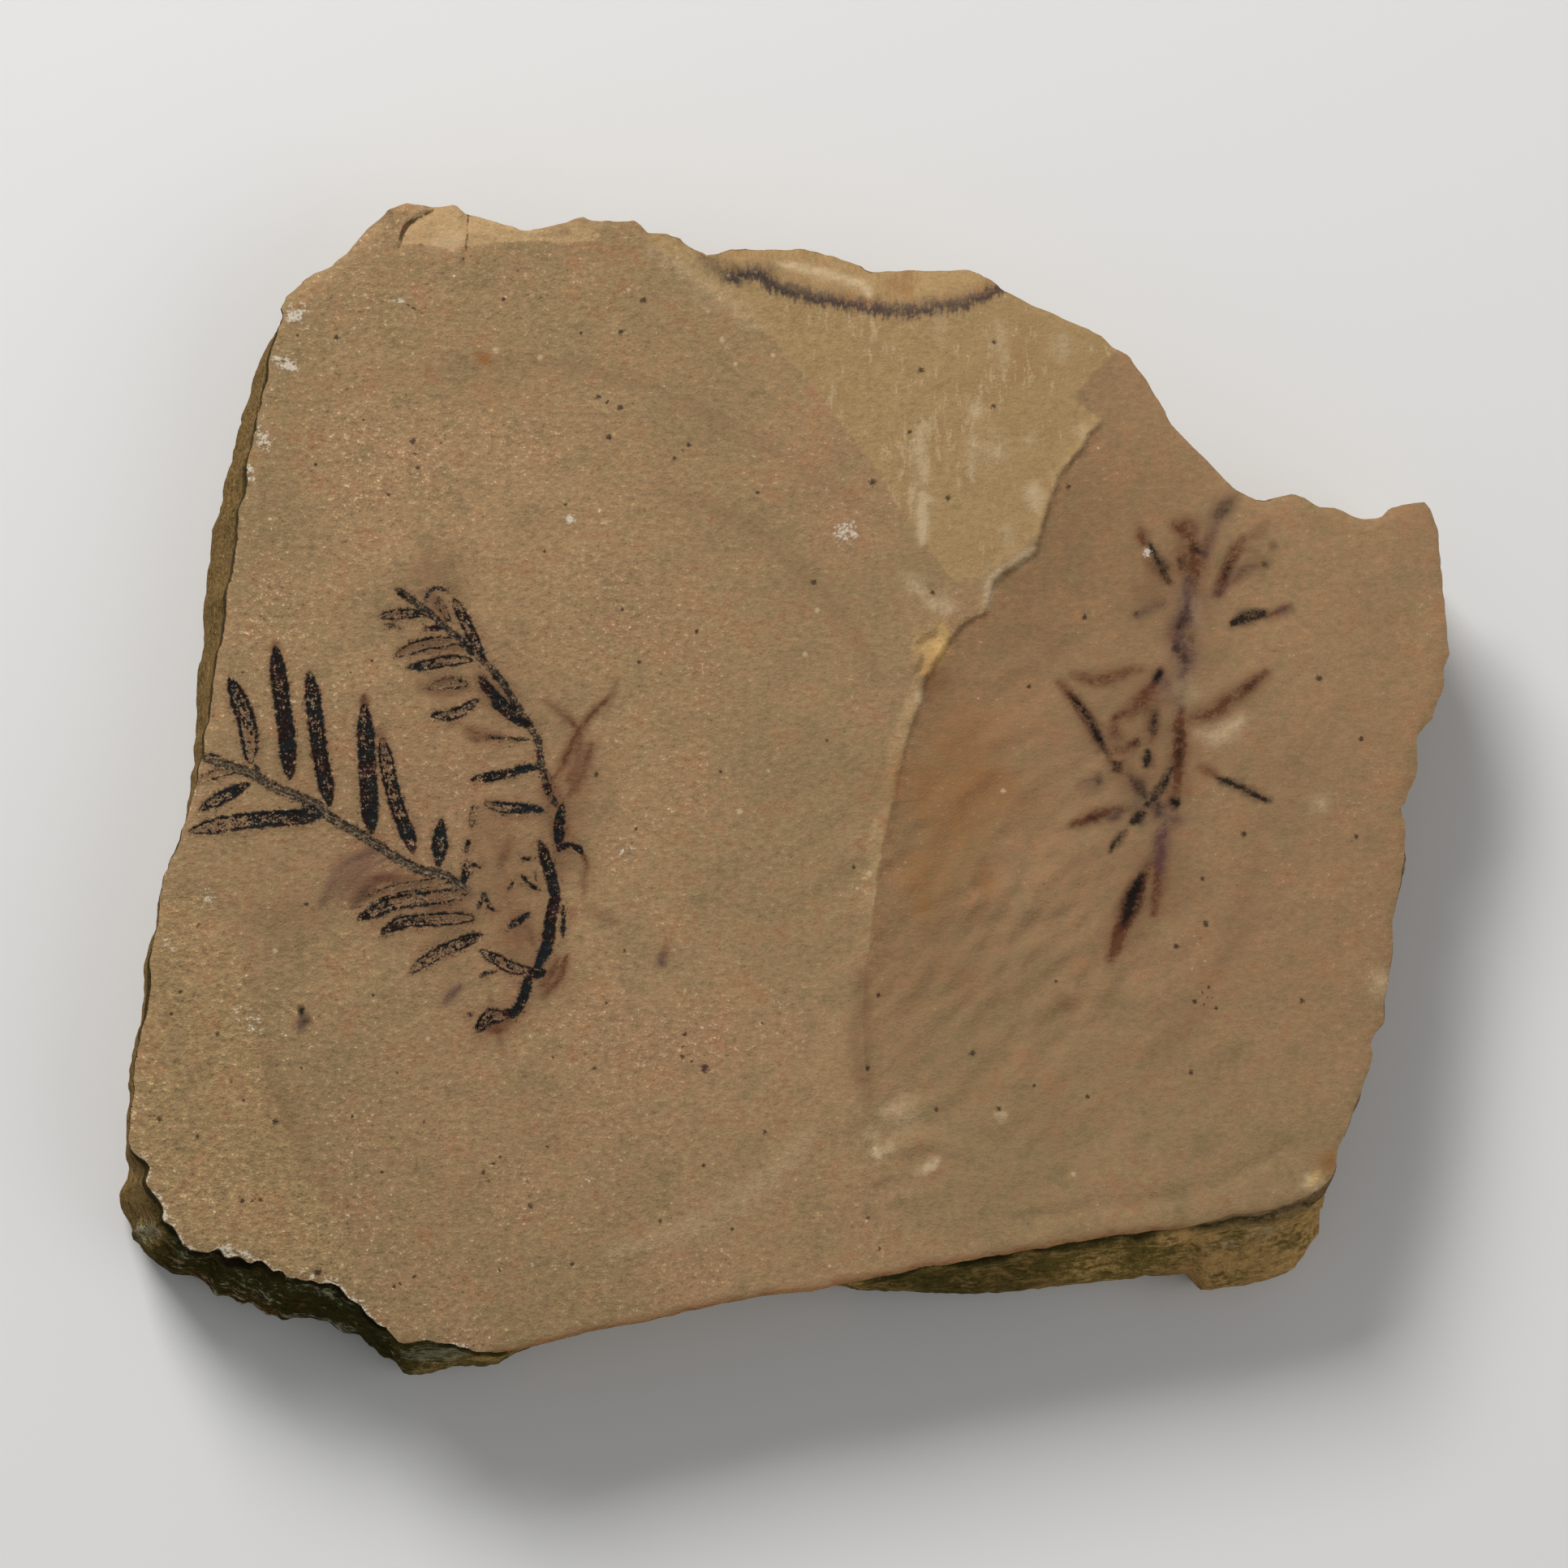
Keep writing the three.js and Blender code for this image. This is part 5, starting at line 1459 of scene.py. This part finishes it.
def thin_beds(finish, at, tone, streaks, grain, dust):
    """The dark bed that shows beyond the facet, and the rusty stone above it."""
    beyond, patches = finish.mark("dark_bed"), finish.mark("patches")
    x, y, _ = finish.parts(at)
    here = x.rise(-9.4, -7.4) * x.rise(20.6, 19.4) * y.rise(41.0, 42.0)
    fades = x.rise(-7.2, -5.0)
    hatch = finish.noise(finish.stretched(at, (3.0, 1.1, 1.0)), 1.0, 2, 0.55, flat=True)
    past = (beyond + 0.4 * patches).rise(-0.1, 0.6) * here
    rusty = finish.mix((patches + 0.6 * hatch + grain).rise(-0.4, 0.8), OCHRE, RUST_OCHRE)
    tone = finish.mix(past * 0.8, tone, rusty)
    ragged = beyond + 0.3 * streaks + 0.4 * hatch + 0.2 * dust + 0.3 * grain
    haze = (ragged + 0.5 * patches).rise(2.0, 0.3) * past
    tone = finish.mix(haze * 0.35, tone, PURPLE_BED)
    lower = ragged.rise(-1.0, -0.05)
    upper = (ragged + 0.4 * patches).rise(1.1, 0.05)
    clots = (0.9 * patches + 0.5 * hatch + 0.8 * grain + 0.4 * dust).rise(-1.2, 0.2)
    band = lower * upper * here * (0.35 + 0.65 * clots) * (0.45 + 0.55 * fades)
    dark = finish.mix((patches + 0.8 * hatch + x * 0.06).rise(-0.3, 0.8), BLUE_BED, PURPLE_BED)
    return finish.mix(band * 0.95, tone, dark)


def with_stains(finish, tone, grain, dust):
    """Soft brown, plum and black stains and painted shade, rust, chalky rubs and one painted
    highlight.
    """
    breakup = 1 + 0.6 * grain + 0.4 * dust + 0.2 * finish.mark("patches")
    for name, low, high, most, colour in STAIN_LOOKS:
        cover = (finish.mark(name) * breakup - low) * (1 / (high - low))
        tone = finish.mix(cover.clamped() * most, tone, colour)
    rust = (finish.mark("rust") * breakup).rise(0.15, 0.9)
    tone = finish.mix(rust * 0.7, tone, IRON)
    # chalky rubs, and one painted highlight in a small pit
    chalk_and_highlight, crumbs = finish.mark("chalk_and_highlight"), finish.mark("crumbs")
    rubbed_and_highlight = (chalk_and_highlight + 0.7 * grain + 0.5 * dust).rise(0.45, 0.95) * chalk_and_highlight.rise(0.08, 0.3)
    drift = finish.mark("drift")
    fallen = crumbs + 0.8 * grain + 0.6 * dust + 0.5 * drift
    fallen = fallen.rise(0.75, 1.05) * crumbs.rise(0.1, 0.35)
    tone = finish.mix(rubbed_and_highlight.most(fallen) * 0.75, tone, CHALK)
    # dark cracks, partly painted shadow along the step at a flake's edge
    crack_and_shadow = (finish.mark("crack_and_shadow") + 0.06 * grain + 0.05 * dust).rise(-0.07, 0.05)
    return finish.mix(crack_and_shadow * 0.8, tone, CRACK_AND_SHADOW_BROWN)


def with_grains(finish, tone, grain, dust):
    """Dark plant grains and pale mineral grains, each its own ragged shape; one is a pit's painted
    shadow.
    """
    ragged = 0.5 * grain + 0.6 * dust
    for name, colour, strength in (("dark_grain_and_pit_shadow", DARK_SEED, 0.78), ("pale_grain", CREAM, 0.75)):
        offset = finish.mark(name, "Vector")
        x, y, near = finish.parts(offset)
        size = finish.length(finish.joined(x, y, 0.0))
        spot = (size + ragged).rise(1.5, 0.4) * near.rise(0.6, 0.9) * near.rise(1.2, 1.1)
        tone = finish.mix(spot * strength, tone, colour)
    return tone


def with_films(finish, at, tone, grain, dust):
    """The carbon films: ragged at the rim, flaked into specks, hollow where only a rim stayed."""
    film, depth = finish.mark("film"), finish.mark("depth")
    left, hollow, stem = finish.mark("left"), finish.mark("hollow"), finish.mark("stem")
    lengthwise = finish.joined(finish.mark("along") * 1.2, finish.mark("across") * 4.5, 0.0)
    fibre = finish.noise(lengthwise, 1.2, 2, 0.6, flat=True)
    flakes = finish.noise(finish.shifted(at, (4, 4, 4)), 2.6, 2, 0.6, flat=True)
    zones = finish.noise(finish.shifted(at, (7, 2, 7)), 0.55, 1, 0.5, flat=True)
    body = (film + 0.18 * grain + 0.12 * dust).rise(0.14, -0.12)
    pattern = 1.3 * flakes + 1.1 * fibre + 2.1 * dust + 2.3 * grain
    gone = hollow * depth.rise(0.25, 0.5)
    kept = left + 0.1 * finish.mark("patches") + 0.2 * zones - 0.75 * gone
    kept = kept + 0.2 * depth.rise(0.5, 0.15) - 0.25 * depth.rise(0.16, 0.02)
    carbon = (kept * 3.4 - 1.6 - pattern).rise(-0.8, 0.6) * body

    halo = (film + 0.5 * flakes).rise(0.8, -0.1) * (0.4 + 0.4 * flakes) * film.rise(2.1, 1.2)
    tone = finish.mix(halo.clamped(), tone, LEAF_BROWN)
    stray = (flakes + 0.6 * dust).rise(0.5, 0.7) * film.rise(0.8, 0.1) * 0.7
    tone = finish.mix(stray, tone, CARBON)
    tone = finish.mix(body * 0.45, tone, LEAF_BROWN)
    tone = finish.mix(body * (dust + 0.5 * fibre).rise(0.2, 0.7) * 0.6, tone, FLAKE_GREY)
    black = finish.mix((zones + 0.5 * grain).rise(-0.3, 0.5) * 0.9, CARBON, CARBON_BLUE)
    black = finish.mix((0.6 * flakes - 0.6 * dust - zones).rise(0.2, 0.9) * 0.8, black, CARBON_PLUM)
    wood = finish.mix((fibre + 0.9 * dust).rise(-0.3, 0.5), STEM_BROWN, STEM_GREY)
    wood = finish.mix((depth + 0.7 * flakes).rise(0.35, 0.05) * 0.85, wood, CARBON)
    film_tone = finish.mix(stem, black, wood)
    return finish.mix(carbon * 0.96, tone, film_tone), carbon


def with_walls(finish, at, tone, grain, dust):
    """Broken and weathered sides and the underside, with painted shade under the rim and painted
    light.
    """
    weather, moss = finish.mark("weather"), finish.mark("moss")
    below, drift, patches = [finish.mark(name) for name in ("below_rim", "drift", "patches")]
    layers = finish.noise(finish.stretched(at, (0.1, 0.1, 1.6)), 1.0, 3, 0.6)
    laminae = finish.noise(finish.stretched(at, (0.45, 0.45, 5.0)), 1.0, 2, 0.6)
    fresh = finish.mix((1.4 * layers + patches).rise(-0.6, 0.6), BROKEN_TAN, OCHRE)
    fresh = finish.mix((drift + 0.8 * grain).rise(0.1, 0.9) * 0.6, fresh, IRON)
    old = finish.mix((layers + 0.8 * patches).rise(-0.5, 0.6), JOINT_OLIVE, JOINT_BROWN)
    side = finish.mix((weather + 0.2 * drift + 0.3 * grain).rise(0.3, 0.75), fresh, old)
    # the mossy lower walls: their own dark olive, darkened further as painted shade for walls that
    # face away from the light
    moss_and_shade = (moss + 0.45 * patches + 0.6 * layers).rise(0.35, 0.9)
    side = finish.mix(moss_and_shade * 0.85, side, MOSS_AND_SHADE_OLIVE)
    # painted light: the jutting ledge's shelf, blotched olive and tan, with the tan made light
    # enough to look lit from above
    blotch = 0.8 * patches + 0.7 * grain + 0.35 * laminae - 1.4 * moss
    lit_shelf_tone = finish.mix(blotch.rise(-1.5, -0.3), SHELF_OLIVE, LIT_SHELF_TAN)
    shelf = below.rise(1.0, 2.2) * moss.rise(0.05, 0.3) * moss.rise(0.95, 0.75)
    shelf = shelf.least(0.35 + 0.65 * weather.rise(0.94, 0.84))
    side = finish.mix(shelf * (0.9 + 0.3 * grain), side, lit_shelf_tone)
    iron = (0.6 * laminae - 0.8 * drift + 0.7 * grain).rise(0.35, 0.9) * moss
    side = finish.mix(iron * 0.6, side, IRON)
    flint = (0.6 * laminae + patches + grain).rise(0.35, 1.1) * moss.rise(0.85, 0.93)
    side = finish.mix(flint * 0.6, side, LICHEN_GREY)
    lichen = (finish.mark("lichen") + 0.5 * grain + 0.6 * laminae).rise(0.35, 0.9)
    side = finish.mix(lichen * 0.6, side, LICHEN_GREY)
    # painted shade: a dark band just under the rim, where the overhang shades the wall
    deep = moss + 0.5 * grain + 0.5 * patches
    shade_under_rim = below.rise(0.1, 0.4) * (below + 0.8 * patches).rise(2.8, 1.2)
    undercut_shade = finish.mix(moss.rise(0.76, 0.94), UNDERCUT_SHADE_OLIVE, CREVICE_SHADOW_BLACK)
    side = finish.mix(shade_under_rim * deep.rise(0.1, 0.6) * 0.85, side, undercut_shade)
    uneven = 0.45 * grain + 0.25 * dust + 0.3 * laminae + 0.3 * patches * moss
    side = finish.dimmed(side, 1 + uneven)
    off_face = (below + 0.3 * grain).rise(0.03, 0.16)
    return finish.mix(off_face, tone, side), off_face, layers + 0.6 * laminae


def siltstone_finish():
    finish = Finish("siltstone_with_carbon_films")
    at = finish.places()
    grain = finish.noise(finish.stretched(at, (0.8, 1.15, 1.0)), 1.7, 3, 0.68)
    dust = finish.noise(finish.shifted(at, (3, 8, 1)), 5.0, 2, 0.6)
    streaks = finish.noise(finish.stretched(at, (1.4, 0.45, 1.0)), 1.0, 3, 0.6, flat=True)
    tone, coarse = stone_colour(finish, at, grain, dust)
    tone, on_facet = facet_colour(finish, tone, streaks, grain, dust)
    tone = thin_beds(finish, at, tone, streaks, grain, dust)
    left_side = finish.parts(at)[0].rise(35, -35)
    speckle = (0.3 * grain + 0.15 * dust) * (0.65 + 0.5 * left_side + 0.4 * coarse)
    tone = finish.dimmed(tone, 1 + speckle)
    tone = with_stains(finish, tone, grain, dust)
    tone = with_grains(finish, tone, grain, dust)
    tone, carbon = with_films(finish, at, tone, grain, dust)
    tone, off_face, layers = with_walls(finish, at, tone, grain, dust)
    finish.set(Base_Color=tone, Roughness=0.92 - 0.3 * carbon, Specular_IOR_Level=0.03)
    relief = (0.036 * grain + 0.018 * dust) * (0.7 + 0.5 * left_side + 0.4 * coarse)
    relief = relief + 0.012 * on_facet * streaks
    finish.bumped(relief + off_face * (0.12 * grain + 0.08 * layers))
    return finish.material


def plain_finish(name, colour, roughness):
    finish = Finish(name)
    finish.set(Base_Color=colour, Roughness=roughness)
    return finish.material


# ---- Making the plate ----

plate = slab_piece()
plate.data.materials.append(siltstone_finish())
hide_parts("siltstone_slab")
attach(plate, "root")

# ---- Floor, light and camera ----

FLOOR_SIZE = 4.0
FLOOR_COLOUR = (0.78, 0.77, 0.75, 1)
ROOM_COLOUR = (0.95, 0.97, 1.0, 1)
ROOM_STRENGTH = 0.25
VIEW_DISTANCE = 0.6
TILT_TO_FRONT = math.radians(6)
TILT_TO_LEFT = math.radians(2.5)
LENS = 153
SENSOR = 36

bpy.ops.mesh.primitive_plane_add(size=FLOOR_SIZE)
floor = bpy.context.object
floor.name = "floor"
floor.data.materials.append(plain_finish("pale_floor", FLOOR_COLOUR, 0.9))


def soft_light(name, place, size, power):
    """A square light that faces the plate."""
    lamp = bpy.data.lights.new(name, "AREA")
    lamp.size, lamp.energy = size, power
    holder = bpy.data.objects.new(name, lamp)
    holder.location = place
    holder.rotation_euler = (Vector((0, 0, 0)) - Vector(place)).to_track_quat("-Z", "Y").to_euler()
    bpy.context.collection.objects.link(holder)


soft_light("key_light", place=(-0.36, 0.68, 0.64), size=0.4, power=9.0)
soft_light("fill_light", place=(0.7, -0.25, 0.9), size=0.8, power=2.0)

world = bpy.data.worlds.new("soft_room")
world.use_nodes = True
background = world.node_tree.nodes["Background"]
background.inputs["Color"].default_value = ROOM_COLOUR
background.inputs["Strength"].default_value = ROOM_STRENGTH
bpy.context.scene.world = world
bpy.context.scene.view_settings.view_transform = "Standard"

target = Vector((-MIDDLE[0] / 1000, -MIDDLE[1] / 1000, THICKNESS / 1000))
to_eye = Vector((
    -math.sin(TILT_TO_LEFT),
    -math.sin(TILT_TO_FRONT) * math.cos(TILT_TO_LEFT),
    math.cos(TILT_TO_FRONT) * math.cos(TILT_TO_LEFT),
))
view = bpy.data.cameras.new("camera")
view.lens, view.sensor_width, view.sensor_fit = LENS, SENSOR, "HORIZONTAL"
view.clip_start, view.clip_end = 0.01, 20
camera = bpy.data.objects.new("camera", view)
right = Vector((0, 1, 0)).cross(to_eye).normalized()
up = to_eye.cross(right)
turn = Matrix((right, up, to_eye)).transposed().to_4x4()
camera.matrix_world = Matrix.Translation(target + VIEW_DISTANCE * to_eye) @ turn
bpy.context.collection.objects.link(camera)
bpy.context.scene.camera = camera
